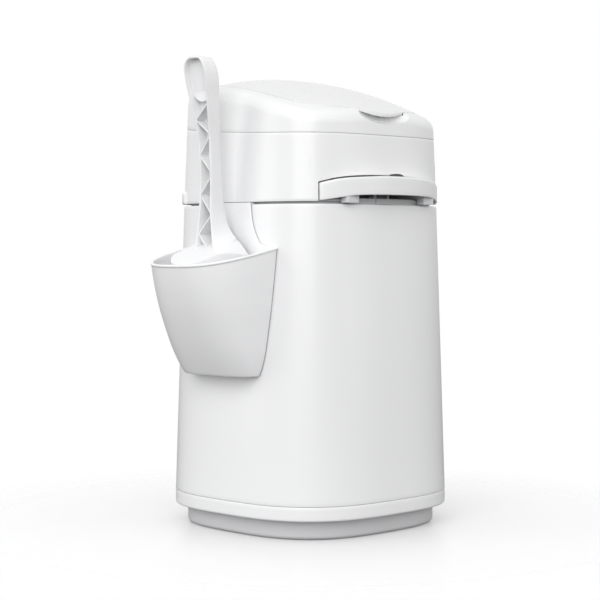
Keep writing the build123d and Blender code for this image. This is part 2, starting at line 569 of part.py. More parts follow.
keep(liner, "lid_liner")
tab = poly_yz([(-92.2, 396.0), (-90.9, 396.0), (-90.9, 389.8), (-92.2, 389.4)], -2.3, 2.3) & R19
keep(tab, "lid_latch_tab")

# ================================================================ MECHANISM
def ring_prism(a, b, t, z0, z1):
    return prism(se_wire(a, b, RIM_N, z0), z1 - z0) - prism(se_wire(a - t, b - t, RIM_N, z0 - 1), z1 - z0 + 2)


tray = prism(se_wire(102.0, 101.2, RIM_N, Z_TRAY0), Z_TRAY1 - Z_TRAY0)
tray = tray - box(-81.5, 81.5, -110, -97.9, 300, 330)
tray = tray + ring_prism(99.0, 98.5, 2.0, 301.0, Z_TRAY1)
tray = tray + (ring_prism(99.0, 98.5, 2.0, 308.0, 312.4) & box(-78, 78, -110, -90, 300, 330))
tray = tray - box(-49, 49, YC - 41, YC + 41, 300, 320)
for sx in (-1, 1):
    tray = tray - box(sx * 30 - 5.5, sx * 30 + 5.5, 93.0, 110, 295, 320)
    tray = tray - box(sx * 30 - 10.5, sx * 30 + 10.5, 98.8, 110, 295, 320)
    tray = tray + box(*sorted((sx * 89.0, sx * 92.0)), -58, 48, Z_TRAY1 - 0.5, 317.0)
    for sy in (-1, 1):
        tray = tray + cyl(3.6, sx * 76, sy * 76, Z_TRAY1 - 0.5, Z_DECK0) - cyl(1.75, sx * 76, sy * 76, 300, 330)
# opening for the latch behind a front plate, and its two pivot posts
tray = tray - box(-7.0, 7.0, -110, -86.0, 295, 311.3)
tray = tray + box(-12.0, 12.0, -99.4, -98.2, 307.2, 312.4)
for sx in (-1, 1):
    x0, x1 = sorted((sx * 7.4, sx * 10.4))
    tray = tray + box(x0, x1, LATCH_Y - 3.2, LATCH_Y + 3.2, Z_TRAY1 - 0.5, LATCH_Z) + cyl_x(3.2, x0, x1, LATCH_Y, LATCH_Z)
tray = tray - cyl_x(1.2, -12, 12, LATCH_Y, LATCH_Z)
for sx in (-1, 1):
    tray = tray - cyl(2.5, sx * PINION_X, YC, 300, 330)
keep(tray, "mechanism_tray")
keep(cyl_x(1.2, -10.4, 10.4, LATCH_Y, LATCH_Z), "latch_pin")

deck = prism(se_wire(102.0, 101.2, RIM_N, Z_DECK0), Z_DECK1 - Z_DECK0)
deck = deck - box(-83, 83, -110, -84, 310, 330) - cyl(42.0, 0, YC, 310, 330)
for sx in (-1, 1):
    deck = deck - cyl(2.5, sx * PINION_X, YC, 310, 330)
    for sy in (-1, 1):
        deck = deck - cyl(1.75, sx * 76, sy * 76, 310, 330)
    deck = deck + cyl(1.3, sx * SPRING_X, 15.6, 318.4, Z_DECK0 + 0.5)
keep(deck, "guide_deck")
keep([cyl(2.5, sx * PINION_X, YC, Z_TRAY0, Z_DECK1) for sx in (-1, 1)], "pinion_axles")
keep([cyl(1.5, sx * 76, sy * 76, Z_TRAY0 - 0.2, 340) + cyl(3.1, sx * 76, sy * 76, Z_TRAY0 - 2.2, Z_TRAY0)
      for sx in (-1, 1) for sy in (-1, 1)], "housing_screws")


def involute_gear(z0, z1, bore, backlash=0.12):
    r, rb = PINION_R, PINION_R * math.cos(math.radians(20))
    ra, rr = r + 0.85 * MODULE, r - 1.15 * MODULE
    inv = lambda q: math.tan(q) - q
    half_tooth = (math.pi * MODULE / 2 - backlash) / 2 / r
    a0 = inv(math.acos(rb / r))
    flank = []
    for i in range(6):
        q = max(rb, rr) + (ra - max(rb, rr)) * i / 5.0
        flank.append((q, half_tooth + a0 - inv(math.acos(min(1.0, rb / q)))))
    pts = []
    for k in range(TEETH):
        c = 2 * math.pi * k / TEETH
        root = half_tooth + a0 + 0.01
        seq = [(rr, -root)] + [(q, -t) for q, t in flank] + [(q, t) for q, t in reversed(flank)] + [(rr, root)]
        for q, t in seq:
            pts.append((q * math.cos(c + t), q * math.sin(c + t)))
    return poly_xy(pts, z0, z1) - cyl(bore, 0, 0, z0 - 1, z1 + 1)


gear = involute_gear(312.0, 317.0, 2.56)
keep(gear.translate(Vector(PINION_X, YC, 0)), "pinion_right")
keep(gear.translate(Vector(-PINION_X, YC, 0)), "pinion_left")


def rack(x_pitch, facing, x_back, y0, y1, z0, z1, backlash=0.12):
    # teeth point along facing (+1 or -1 in X); a tooth space is centred on YC
    p = math.pi * MODULE
    t20 = math.tan(math.radians(20))
    add, ded = 0.85 * MODULE, 1.15 * MODULE
    n0 = int(math.ceil((y0 - YC) / p - 0.5)) - 1
    pts = [(x_back, y0), (x_pitch - facing * ded, y0)]
    k = n0
    while True:
        c = YC + (k + 0.5) * p
        w = (p / 2 - backlash) / 2
        if c + w + ded * t20 + 0.05 > y1:
            break
        if c - w - ded * t20 - 0.05 > y0:
            pts += [(x_pitch - facing * ded, c - w - ded * t20), (x_pitch + facing * add, c - w + add * t20),
                    (x_pitch + facing * add, c + w - add * t20), (x_pitch - facing * ded, c + w + ded * t20)]
        k += 1
    pts += [(x_pitch - facing * ded, y1), (x_back, y1)]
    return poly_xy(pts, z0, z1)


# jaw slide: front jaw, arms to the handle and inner racks in one moulding
slide = box(-56, 56, YC - 43, YC - 1.6, Z_JAW0, Z_JAW1)
for sx in (-1, 1):
    r = rack(62.0, 1, 55.8, YC - 45, YC + 57, 312.0, 317.0)
    slide = slide + (r if sx > 0 else mirror_x(r))
    slide = slide + box(*sorted((sx * 44.0, sx * 60.0)), -108.0, YC - 44, 313.0, 316.5)
    slide = slide + box(*sorted((sx * 44.5, sx * 59.5)), -108.0, -100.0, 307.9, 316.5)
    slide = slide + box(*sorted((sx * 54.0, sx * 68.2)), YC - 45, YC - 41.2, 313.0, 316.5)
    slide = slide + box(*sorted((sx * 63.8, sx * 68.2)), YC - 45, YC - 41.2, 316.0, 321.6)
    slide = slide - cyl(1.3, sx * 52, -104.0, 300, 330) - cyl(2.5, sx * 52, -104.0, 300, 309.65)
keep(box(-55.4, 55.4, YC - 1.6, YC - 0.06, Z_JAW0 + 0.3, Z_JAW1 - 0.3), "front_jaw_lip")

rear = box(-55.4, 55.4, YC + 1.6, YC + 45, Z_JAW0, Z_JAW1)
rear = rear + box(-88, 88, YC + 25, YC + 34, 317.4, 321.4)
for sx in (-1, 1):
    r = rack(82.0, -1, 88.0, YC - 57, YC + 34, 312.0, 317.0)
    rear = rear + (r if sx > 0 else mirror_x(r))
    rear = rear + box(*sorted((sx * 83.6, sx * 88.0)), YC + 25, YC + 34, 316.5, 318.0)
keep(rear, "rear_jaw")
keep(box(-55.4, 55.4, YC + 0.06, YC + 1.6, Z_JAW0 + 0.3, Z_JAW1 - 0.3), "rear_jaw_lip")

# return springs between the jaw slide and posts on the deck
def coil(radius, wire_r, pitch, turns, place):
    path = Wire([Edge.make_helix(pitch, pitch * turns, radius)])
    start = path @ 0.0
    tangent = path % 0.0
    section = Plane(origin=start, z_dir=tangent) * Circle(wire_r)
    body = sweep(section.face() if hasattr(section, "face") else section, path=path, is_frenet=True)
    return body.moved(place)


SPRING_Y0, SPRING_Y1 = YC - 41.0, 14.2
for side, sx in (("left", -1), ("right", 1)):
    s = coil(1.25, 0.3, (SPRING_Y1 - SPRING_Y0 - 0.8) / 26.0, 26,
             Location((sx * SPRING_X, SPRING_Y0 + 0.4, 320.0), (-90, 0, 0)))
    keep(s, "return_spring_" + side)

# ============================================================= PULL HANDLE
def bow(x, off=0.0):
    return -(94.5 + off + 22.5 * (1.0 - abs(x / HANDLE_X) ** 3))


def plan_block(off, hw, y_back):
    pts = [(-hw + 2 * hw * i / 16.0, bow(-hw + 2 * hw * i / 16.0, off)) for i in range(17)]
    back = [(hw, pts[-1][1]), (hw, -91.2), (hw - 6.0, -91.2), (hw - 9.0, y_back), (9.0 - hw, y_back),
            (6.0 - hw, -91.2), (-hw, -91.2), (-hw, pts[0][1])]
    if y_back > -91.2:
        back = [back[0], (hw, y_back), (-hw, y_back), back[-1]]
    e = [Edge.make_spline([Vector(x, y, 300) for x, y in pts])]
    e += [Edge.make_line(Vector(p[0], p[1], 300), Vector(q[0], q[1], 300)) for p, q in zip(back[:-1], back[1:])]
    return Solid.extrude(Face(Wire(e)), Vector(0, 0, 50))


HT = [(-79.5, 325.7), (-68.0, 328.8), (-55.0, 330.7), (-36.0, 332.0), (-18.0, 332.8), (0.0, 333.0),
      (18.0, 332.8), (36.0, 332.0), (55.0, 330.7), (68.0, 328.8), (79.5, 325.7)]
HB = [(-79.5, 309.9), (-68.6, 311.8), (-56.0, 313.9), (-36.0, 315.2), (-18.0, 315.5), (0.0, 315.6),
      (18.0, 315.5), (36.0, 315.2), (56.0, 313.9), (68.6, 311.8), (79.5, 309.9)]


def face_block(top, bottom, y0, y1):
    e1 = Edge.make_spline([Vector(x, y0, z) for x, z in top])
    e2 = Edge.make_spline([Vector(x, y0, z) for x, z in bottom])
    e3 = Edge.make_line(e1 @ 0.0, e2 @ 0.0)
    e4 = Edge.make_line(e1 @ 1.0, e2 @ 1.0)
    return Solid.extrude(Face(Wire([e1, e4, e2, e3])), Vector(0, y1 - y0, 0))


handle = plan_block(0.0, HANDLE_X, -97.5) & face_block(HT, HB, -125, -80)
k = (HANDLE_X - 2.4) / HANDLE_X
void = plan_block(-2.6, HANDLE_X - 2.4, -80.0) & face_block(
    [(x * k, z - 2.2) for x, z in HT], [(x * k, z - 12.0) for x, z in HB], -125, -70)
handle = handle - void
# mounting pads above the two brackets of the slide
for sx in (-1, 1):
    x0, x1 = sorted((sx * 45.0, sx * 59.0))
    pad = box(x0, x1, -108.0, -100.0, 316.5, 330.5) & face_block(HT, HB, -125, -80)
    handle = handle + (pad & plan_block(0.0, HANDLE_X, -97.5)) - cyl(1.2, sx * 52, -104.0, 310, 324)
# the slide ends inside the handle shell
slide = slide - (box(-70, 70, -125, -94.0, 300, 330) - plan_block(-0.4, HANDLE_X, -80.0)) - handle
keep(slide, "jaw_slide")
# guide for the release button
guide = box(-5.0, 5.0, -117.0, -109.0, 324.0, 331.5) & plan_block(-1.0, HANDLE_X, -97.5)
handle = handle + guide
slot = box(-8.9, 8.9, BUTTON_Y - 1.9, BUTTON_Y + 1.9, 327.6, 340)
handle = handle - slot - box(-2.6, 2.6, BUTTON_Y - 1.6, BUTTON_Y + 1.6, 316.8, 340)
keep(handle, "pull_handle")
keep([cyl(1.2, sx * 52, -104.0, 309.5, 322) + cyl(2.4, sx * 52, -104.0, 307.9, 309.6) for sx in (-1, 1)], "handle_screws")

# release button: pill cap, stem down to the latch
BTN = [(-8.6, 331.0), (-8.3, 333.6), (-5.5, 334.9), (0.0, 335.4), (5.5, 334.9), (8.3, 333.6), (8.6, 331.0)]
cap = Solid.extrude(Face(Wire([Edge.make_spline([Vector(x, BUTTON_Y - 1.6, z) for x, z in BTN]),
                               Edge.make_line(Vector(8.6, BUTTON_Y - 1.6, 331.0), Vector(-8.6, BUTTON_Y - 1.6, 331.0))])), Vector(0, 3.2, 0))
button = cap + box(-2.3, 2.3, BUTTON_Y - 1.3, BUTTON_Y + 1.3, 320.6, 331.5)
keep(button, "release_button")

# latch: hook towards the strike, lever under the button stem
latch = cyl_x(3.0, -6.6, 6.6, LATCH_Y, LATCH_Z)
latch = latch + poly_yz([(LATCH_Y - 2.2, LATCH_Z - 1), (LATCH_Y + 2.6, LATCH_Z - 1), (LATCH_Y + 1.0, 292.0), (LATCH_Y - 4.2, 286.4), (LATCH_Y - 4.6, 291.4), (LATCH_Y - 1.6, 292.6)], -6.0, 6.0)
latch = latch + poly_yz([(LATCH_Y + 1, LATCH_Z + 2.9), (LATCH_Y - 6, 320.3), (-113.9, 320.3), (-113.9, 318.3), (LATCH_Y - 5, 317.6), (LATCH_Y, LATCH_Z - 1)], -4.5, 4.5)
latch = latch - cyl_x(1.26, -8, 8, LATCH_Y, LATCH_Z)
keep(latch, "head_latch")

# =========================================================== FILM CASSETTE
well_o = prism(se_wire(84.0, 84.6, LID_N, Z_DECK1, 0.0, LID_Y), 120)
well_i = prism(se_wire(82.0, 82.6, LID_N, Z_DECK1 + 2.0, 0.0, LID_Y), 120)
well = (well_o - (box(-130, 130, -130, 130, 345, 460) - R44)) - well_i - cyl(42.0, 0, YC, 310, 400)
well = well + (cyl(74.6, 0, YC, 325.5, 330.0) - cyl(72.8, 0, YC, 320.0, 340.0))
for sx in (-1, 1):
    well = well - cyl(2.6, sx * PINION_X, YC, 320, 325.0)
well = well - recess_clear
keep(well, "cassette_well")

R1, R2 = 72.0, 44.0
cas = cyl(R1, 0, YC, 326.0, 352.0) - cyl(R2, 0, YC, 320, 360)
cas = cas - (cyl(R1 - 1.8, 0, YC, 327.8, 360) - cyl(R2 + 1.8, 0, YC, 320, 360))
cas = cas - (cyl(R2 + 3.0, 0, YC, 349.0, 360))
keep(cas, "cassette_tray")
film = None
for i in range(8):
    z = 328.0 + 2.4 * i
    d = cyl(R1 - 3.0, 0, YC, z, z + 2.4) if i % 2 == 0 else cyl(R1 - 4.4, 0, YC, z, z + 2.4)
    film = d if film is None else film + d
film = film - cyl(R2 + 3.2, 0, YC, 320, 360)
keep(film, "film_pack")
capring = cyl(R1 + 1.6, 0, YC, 352.0, 353.8) - cyl(R2 + 6.5, 0, YC, 340, 360)
capring = capring + (cyl(R1 + 1.6, 0, YC, 345.0, 352.5) - cyl(R1 + 0.1, 0, YC, 340, 360))
keep(capring, "cassette_cap")
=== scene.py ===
import json
import math

import bmesh
import bpy
import numpy as np
from mathutils import Matrix, Vector


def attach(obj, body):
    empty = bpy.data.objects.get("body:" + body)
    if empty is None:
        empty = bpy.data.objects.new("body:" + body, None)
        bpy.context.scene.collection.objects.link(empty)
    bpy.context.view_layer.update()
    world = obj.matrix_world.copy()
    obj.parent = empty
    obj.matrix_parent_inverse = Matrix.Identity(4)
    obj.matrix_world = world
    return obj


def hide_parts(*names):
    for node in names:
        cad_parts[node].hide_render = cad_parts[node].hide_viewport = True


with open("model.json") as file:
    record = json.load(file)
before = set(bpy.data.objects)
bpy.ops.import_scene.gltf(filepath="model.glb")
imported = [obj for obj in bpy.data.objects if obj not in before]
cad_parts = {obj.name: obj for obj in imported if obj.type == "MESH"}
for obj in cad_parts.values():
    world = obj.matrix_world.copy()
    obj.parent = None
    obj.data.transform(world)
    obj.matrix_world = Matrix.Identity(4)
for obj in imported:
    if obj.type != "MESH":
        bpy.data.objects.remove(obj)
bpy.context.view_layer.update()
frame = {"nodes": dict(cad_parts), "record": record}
NODES = frame["nodes"]
NODE_BODY = {n: b for b, ns in frame["record"]["behaviour"]["bodies"].items() for n in ns}
MM = 0.001

# ------------------------------------------------------------------ materials


class Mat:
    """A small node tree around one Principled shader."""

    def __init__(self, name, rough, spec=0.5, coat=0.0, coat_rough=0.2, metallic=0.0, sss=0.0, ior=1.5):
        self.m = bpy.data.materials.new(name)
        self.m.use_nodes = True
        self.t = self.m.node_tree
        self.b = self.t.nodes["Principled BSDF"]
        self.b.inputs["Roughness"].default_value = rough
        self.b.inputs["Specular IOR Level"].default_value = spec
        self.b.inputs["Coat Weight"].default_value = coat
        self.b.inputs["Coat Roughness"].default_value = coat_rough
        self.b.inputs["Metallic"].default_value = metallic
        self.b.inputs["IOR"].default_value = ior
        if sss:
            self.b.inputs["Subsurface Weight"].default_value = sss
            self.b.inputs["Subsurface Radius"].default_value = (1.0, 0.95, 0.9)
            self.b.inputs["Subsurface Scale"].default_value = 0.002
        self.co = self.t.nodes.new("ShaderNodeTexCoord").outputs["Object"]

    def node(self, kind, **values):
        n = self.t.nodes.new(kind)
        for k, v in values.items():
            if k in n.inputs:
                n.inputs[k].default_value = v
            else:
                setattr(n, k, v)
        return n

    def link(self, a, b):
        self.t.links.new(a, b)

    def noise(self, scale, detail=2.0, rough=0.5, stretch=None):
        n = self.node("ShaderNodeTexNoise")
        n.inputs["Scale"].default_value = scale
        n.inputs["Detail"].default_value = detail
        n.inputs["Roughness"].default_value = rough
        src = self.co
        if stretch:
            mp = self.node("ShaderNodeMapping")
            mp.inputs["Scale"].default_value = stretch
            self.link(self.co, mp.inputs["Vector"])
            src = mp.outputs["Vector"]
        self.link(src, n.inputs["Vector"])
        return n.outputs["Fac"]

    def ramp(self, fac, stops):
        r = self.node("ShaderNodeValToRGB")
        els = r.color_ramp.elements
        while len(els) < len(stops):
            els.new(0.5)
        for e, (p, c) in zip(els, stops):
            e.position = p
            e.color = (*c, 1.0) if len(c) == 3 else c
        self.link(fac, r.inputs["Fac"])
        return r.outputs["Color"]

    def spread(self, fac, lo, hi, out_lo, out_hi):
        r = self.node("ShaderNodeMapRange")
        for k, v in zip(("From Min", "From Max", "To Min", "To Max"), (lo, hi, out_lo, out_hi)):
            r.inputs[k].default_value = v
        self.link(fac, r.inputs["Value"])
        return r.outputs["Result"]

    def painted_seam_shade(self, colour, reach, deep, clear):
        """Painted shade: the colour, darker where the surface has another one close in front of it, as deep in seams.
        """
        ao = self.node("ShaderNodeAmbientOcclusion")
        ao.samples = 16
        ao.inputs["Distance"].default_value = reach
        open_ = self.spread(ao.outputs["AO"], 0.12, clear, deep, 1.0)
        scale = self.node("ShaderNodeVectorMath", operation="SCALE")
        self.link(colour, scale.inputs[0])
        self.link(open_, scale.inputs["Scale"])
        return scale.outputs["Vector"]

    def colour(self, out):
        self.link(out, self.b.inputs["Base Color"])

    def roughness(self, out):
        self.link(out, self.b.inputs["Roughness"])

    def bump(self, fac, strength, distance, after=None):
        b = self.node("ShaderNodeBump")
        b.inputs["Strength"].default_value = strength
        b.inputs["Distance"].default_value = distance
        self.link(fac, b.inputs["Height"])
        if after is not None:
            self.link(after, b.inputs["Normal"])
        return b.outputs["Normal"]

    def normal(self, out):
        self.link(out, self.b.inputs["Normal"])


def moulded(name, colour, rough, spread=0.05, grain=2600.0, grain_depth=0.00002, flow=0.02, coat=0.0, spec=0.5, sss=0.0,
            coat_rough=0.15, seam_shade_reach=0.0, clear=0.62):
    """Injection moulded plastic: fine spark-eroded grain, slow sink and flow waviness, a faint change of tone, and
    where asked painted shade in seams and joins.
    """
    m = Mat(name, rough, spec=spec, coat=coat, sss=sss, coat_rough=coat_rough)
    c = np.array(colour)
    slow = m.noise(9.0, 3.0, 0.55)
    tone = m.ramp(slow, [(0.1, tuple(c * (1 - flow))), (0.9, tuple(np.minimum(c * (1 + flow * 0.4), 0.95)))])
    # painted shade: where asked, the colour is darkened in seams and joins by an ambient occlusion node
    m.colour(m.painted_seam_shade(tone, seam_shade_reach, 0.3, clear) if seam_shade_reach else tone)
    m.roughness(m.spread(m.noise(24.0, 1.0, 0.5), 0.0, 1.0, rough - spread, rough + spread))
    wave = m.bump(m.noise(11.0, 0.0, 0.3), 0.03, 0.0003)
    m.normal(m.bump(m.noise(grain * 0.12, 1.0, 0.4), 0.02, grain_depth, after=wave) if grain_depth else wave)
    return m.m


# the white and the lid plastic get painted shade in their seams and joins
M_WHITE = moulded("white_gloss_moulded", (0.83, 0.832, 0.838), 0.30, spread=0.03, grain=2400.0, coat=0.25, coat_rough=0.22, seam_shade_reach=0.0026, clear=0.7)
# painted shade: the lid's white is set a little darker than the other white parts, to dim its top under the light from
# above
M_LID_SHADE_PAINTED = moulded("white_lid_painted_shade", (0.79, 0.792, 0.798), 0.27, spread=0.03, grain_depth=0.0, coat=0.3, coat_rough=0.2, seam_shade_reach=0.0026, clear=0.9)
M_SCOOP = moulded("white_satin_scoop", (0.83, 0.832, 0.84), 0.42, spread=0.04, grain=1900.0, grain_depth=0.00003, sss=0.04)
M_HOLDER = moulded("white_satin_holder", (0.87, 0.872, 0.88), 0.36, spread=0.04, grain=2100.0, grain_depth=0.00003, coat=0.1)
# painted shade: the foot is coloured mid grey, darker than the white parts, to stand in for the shade under the base
# ring's overhang
M_FOOT_SHADE_PAINTED = moulded("base_foot_painted_shade", (0.58, 0.582, 0.59), 0.4, spread=0.04, grain=2200.0, grain_depth=0.00003)
M_LIGHT = moulded("pale_grey_plastic", (0.66, 0.665, 0.675), 0.42, spread=0.05, grain=1700.0, grain_depth=0.00004)
M_TAB = moulded("light_tab_plastic", (0.80, 0.81, 0.82), 0.35, spread=0.04, grain=1700.0, grain_depth=0.00003)
M_GREY = moulded("grey_glass_filled_plastic", (0.20, 0.204, 0.212), 0.5, spread=0.07, flow=0.05, grain=1300.0, grain_depth=0.00006)
# painted shade: the release button is made near-black so that it reads as the dark, shaded spot above the handle
M_DARK_BUTTON_SHADE = moulded("dark_button_painted_shade", (0.055, 0.056, 0.06), 0.33, spread=0.05, flow=0.05, grain=1500.0, grain_depth=0.00003)


def rubber():
    m = Mat("soft_grey_rubber", 0.72, spec=0.35)
    m.colour(m.ramp(m.noise(60.0, 4.0, 0.65), [(0.3, (0.085, 0.087, 0.09)), (0.7, (0.13, 0.132, 0.137))]))
    m.roughness(m.spread(m.noise(220.0, 3.0, 0.5), 0.3, 0.7, 0.64, 0.8))
    m.normal(m.bump(m.noise(900.0, 3.0, 0.6), 0.3, 0.00008))
    return m.m


def steel(name, along):
    m = Mat(name, 0.28, metallic=1.0)
    brush = m.noise(40.0, 3.0, 0.6, stretch=along)
    m.colour(m.ramp(brush, [(0.3, (0.50, 0.505, 0.515)), (0.7, (0.66, 0.665, 0.67))]))
    m.roughness(m.spread(brush, 0.3, 0.7, 0.2, 0.38))
    m.normal(m.bump(brush, 0.12, 0.00003))
    return m.m


def film():
    m = Mat("pleated_film", 0.28, spec=0.5, coat=0.2)
    fold = m.noise(30.0, 5.0, 0.7, stretch=(3.0, 3.0, 26.0))
    # the blue tint is the film's own; its darker tone in the pleats' hollows is painted shade and its lighter tone on
    # their crests painted light
    m.colour(m.ramp(fold, [(0.25, (0.44, 0.52, 0.61)), (0.6, (0.62, 0.69, 0.76)), (0.85, (0.76, 0.81, 0.85))]))
    m.roughness(m.spread(fold, 0.3, 0.7, 0.18, 0.42))
    m.normal(m.bump(fold, 0.55, 0.0009))
    return m.m


M_RUBBER = rubber()
M_STEEL_X = steel("turned_steel_across", (4.0, 60.0, 60.0))
M_STEEL_Z = steel("turned_steel_upright", (60.0, 60.0, 4.0))
M_BLADE = steel("ground_blade_steel", (90.0, 6.0, 40.0))
M_SPRING = steel("spring_wire_steel", (50.0, 50.0, 50.0))
M_FILM = film()

# --------------------------------------------------------------- mesh helpers
TAU = 2.0 * math.pi


def add_grid(P, wrap_rows=False, wrap_cols=False, cap_first=False, cap_last=False):
    """Quads over P[row][col]; a cap closes the first or last row with one flat face."""
    rows, cols = P.shape[0], P.shape[1]
    V = P.reshape(-1, 3)
    F = []
    for i in range(rows if wrap_rows else rows - 1):
        a = i * cols
        b = ((i + 1) % rows) * cols
        for j in range(cols if wrap_cols else cols - 1):
            k = (j + 1) % cols
            F.append((a + j, a + k, b + k, b + j))
    if cap_first:
        F.append(tuple(reversed(range(cols))))
    if cap_last:
        F.append(tuple(range((rows - 1) * cols, rows * cols)))
    return V, F


def fan(ring, centre):
    V = np.vstack([ring, centre])
    n = len(ring)
    return V, [(i, (i + 1) % n, n) for i in range(n)]


def raw(name, parts):
    """One mesh object, in millimetres, from (vertices, faces) parts, with its normals outward."""
    V, F, base = [], [], 0
    for v, f in parts:
        V.append(np.asarray(v, float))
        F += [tuple(base + i for i in q) for q in f]
        base += len(v)
    me = bpy.data.meshes.new(name)
    me.from_pydata(np.vstack(V).tolist(), [], F)
    o = bpy.data.objects.new(name, me)
    bpy.context.scene.collection.objects.link(o)
    bm = bmesh.new()
    bm.from_mesh(me)
    bmesh.ops.remove_doubles(bm, verts=bm.verts, dist=1e-5)
    bmesh.ops.dissolve_degenerate(bm, edges=bm.edges, dist=1e-6)
    bmesh.ops.recalc_face_normals(bm, faces=bm.faces)
    bm.to_mesh(me)
    bm.free()
    return o


def apply_mods(o):
    dg = bpy.context.evaluated_depsgraph_get()
    me = bpy.data.meshes.new_from_object(o.evaluated_get(dg))
    o.modifiers.clear()
    old = o.data
    o.data = me
    bpy.data.meshes.remove(old)


def boolean(o, cutter, op="DIFFERENCE", keep=False):
    """Cuts or joins; where one way of solving gives nothing, the next is tried."""
    before = o.data.copy()
    for solver, own in (("EXACT", False), ("EXACT", True), ("FAST", False)):
        m = o.modifiers.new("b", "BOOLEAN")
        m.object = cutter
        m.operation = op
        m.solver = solver
        if solver == "EXACT":
            m.use_self = own
        bpy.context.view_layer.update()
        apply_mods(o)
        if len(o.data.polygons) > (0 if op == "INTERSECT" else 0.5 * len(before.polygons)):
            break
        o.data = before.copy()
    if not keep:
        bpy.data.objects.remove(cutter)
    return o


def soften(o, width, segments=2, angle=35.0):
    m = o.modifiers.new("v", "BEVEL")
    m.width = width
    m.segments = segments
    m.limit_method = "ANGLE"
    m.angle_limit = math.radians(angle)
    m.harden_normals = False
    bpy.context.view_layer.update()
    apply_mods(o)
    return o


def join(name, objs):
    bm = bmesh.new()
    for o in objs:
        bm.from_mesh(o.data)
    me = bpy.data.meshes.new(name)
    bm.to_mesh(me)
    bm.free()
    for o in objs:
        bpy.data.objects.remove(o)
    out = bpy.data.objects.new(name, me)
    bpy.context.scene.collection.objects.link(out)
    return out


def done(o, name, node, mat, sharp=32.0, also=()):
    """Scales a millimetre mesh to metres, shades it and lets it stand for its CAD node."""
    o.name = name
    o.data.name = name
    o.data.transform(Matrix.Scale(MM, 4))
    o.data.materials.clear()
    o.data.materials.append(mat)
    for p in o.data.polygons:
        p.use_smooth = True
        p.material_index = 0
    o.data.set_sharp_from_angle(angle=math.radians(sharp))
    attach(o, NODE_BODY[node])
    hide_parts(node, *also)
    return o


def block(x0, x1, y0, y1, z0, z1):
    P = np.array([[x0, y0, z0], [x1, y0, z0], [x1, y1, z0], [x0, y1, z0],
                  [x0, y0, z1], [x1, y0, z1], [x1, y1, z1], [x0, y1, z1]], float)
    return P, [(3, 2, 1, 0), (4, 5, 6, 7), (0, 1, 5, 4), (1, 2, 6, 5), (2, 3, 7, 6), (3, 0, 4, 7)]


def extruded(points, axis, lo, hi):
    """Closed prism of a 2-D outline along x, y or z."""
    out = []
    for v in (lo, hi):
        if axis == "x":
            out.append([(v, a, b) for a, b in points])
        elif axis == "y":
            out.append([(a, v, b) for a, b in points])
        else:
            out.append([(a, b, v) for a, b in points])
    return add_grid(np.array(out, float), wrap_cols=True, cap_first=True, cap_last=True)


def rod(axis, r, lo, hi, a, b, seg=40, edge=0.25):
    """Round bar with softened rims along x, y or z."""
    t = np.linspace(0, TAU, seg, endpoint=False)
    rows = []
    for rr, v in ((r - edge, lo), (r - 0.3 * edge, lo + 0.3 * edge), (r, lo + edge), (r, hi - edge),
                  (r - 0.3 * edge, hi - 0.3 * edge), (r - edge, hi)):
        c, s = rr * np.cos(t), rr * np.sin(t)
        v = np.full(seg, v)
        if axis == "x":
            rows.append(np.stack([v, a + c, b + s], 1))
        elif axis == "y":
            rows.append(np.stack([a + c, v, b + s], 1))
        else:
            rows.append(np.stack([a + c, b + s, v], 1))
    return add_grid(np.array(rows), wrap_cols=True, cap_first=True, cap_last=True)


def spline(xs, ys):
    """Natural cubic through the points, as a function of one array."""
    xs, ys = np.asarray(xs, float), np.asarray(ys, float)
    n = len(xs)
    h = np.diff(xs)
    A = np.eye(n)
    r = np.zeros(n)
    for i in range(1, n - 1):
        A[i, i - 1], A[i, i], A[i, i + 1] = h[i - 1], 2 * (h[i - 1] + h[i]), h[i]
        r[i] = 6 * ((ys[i + 1] - ys[i]) / h[i] - (ys[i] - ys[i - 1]) / h[i - 1])
    m = np.linalg.solve(A, r)

    def f(x):
        x = np.asarray(x, float)
        i = np.clip(np.searchsorted(xs, x) - 1, 0, n - 2)
        a, b = xs[i + 1] - x, x - xs[i]
        hi = h[i]
        return (m[i] * a ** 3 + m[i + 1] * b ** 3) / (6 * hi) + (ys[i] / hi - m[i] * hi / 6) * a + (
            ys[i + 1] / hi - m[i + 1] * hi / 6) * b
    return f

# ------------------------------------------------ the object's main dimensions
PLINTH_A, PLINTH_B, Z_PLINTH = 107.4, 106.65, 18.3
BASE_A, BASE_B, BASE_N, Z_SEAM = 118.1, 117.3, 2.965, 32.0
RIM_A, RIM_B, RIM_N, Z_RIM, Z_HEAD = 104.8, 104.0, 3.777, 306.8, 309.0
WALL, DRAFT, DOME_R = 2.4, 2.2 / 65.0, 15.0
LID_A, LID_B, LID_N, LID_Y = 85.76, 86.43, 2.87, -6.13
GAP_LID, GAP_COVER = 0.30, 0.45
HINGE_Y, HINGE_Z = 103.0, 312.0
LIDH_Y, LIDH_Z = 83.4, 427.8
HANDLE_X, BUTTON_Y = 79.5, -113.4
COLS = 320
TS = np.linspace(0, TAU, COLS, endpoint=False)


def polar(t, a, b, n):
    return ((np.abs(np.cos(t)) / a) ** n + (np.abs(np.sin(t)) / b) ** n) ** (-1.0 / n)


def wall_r(t, z, off=0.0):
    """Distance of the outer wall from the upright axis, at angle t and height z, inset by off."""
    t, z = np.broadcast_arrays(np.asarray(t, float), np.asarray(z, float))
    k = np.clip((z - Z_SEAM) / (Z_RIM - Z_SEAM), 0, 1)
    low = (1 - k) * polar(t, BASE_A - off, BASE_B - off, BASE_N) + k * polar(t, RIM_A - off, RIM_B - off, RIM_N)
    d = (np.maximum(z, Z_RIM) - Z_RIM) * DRAFT
    high = ((np.abs(np.cos(t)) / (RIM_A - off - d)) ** RIM_N + (np.abs(np.sin(t)) / (RIM_B - off - d)) ** RIM_N) ** (-1.0 / RIM_N)
    return np.where(z <= Z_RIM, low, high)


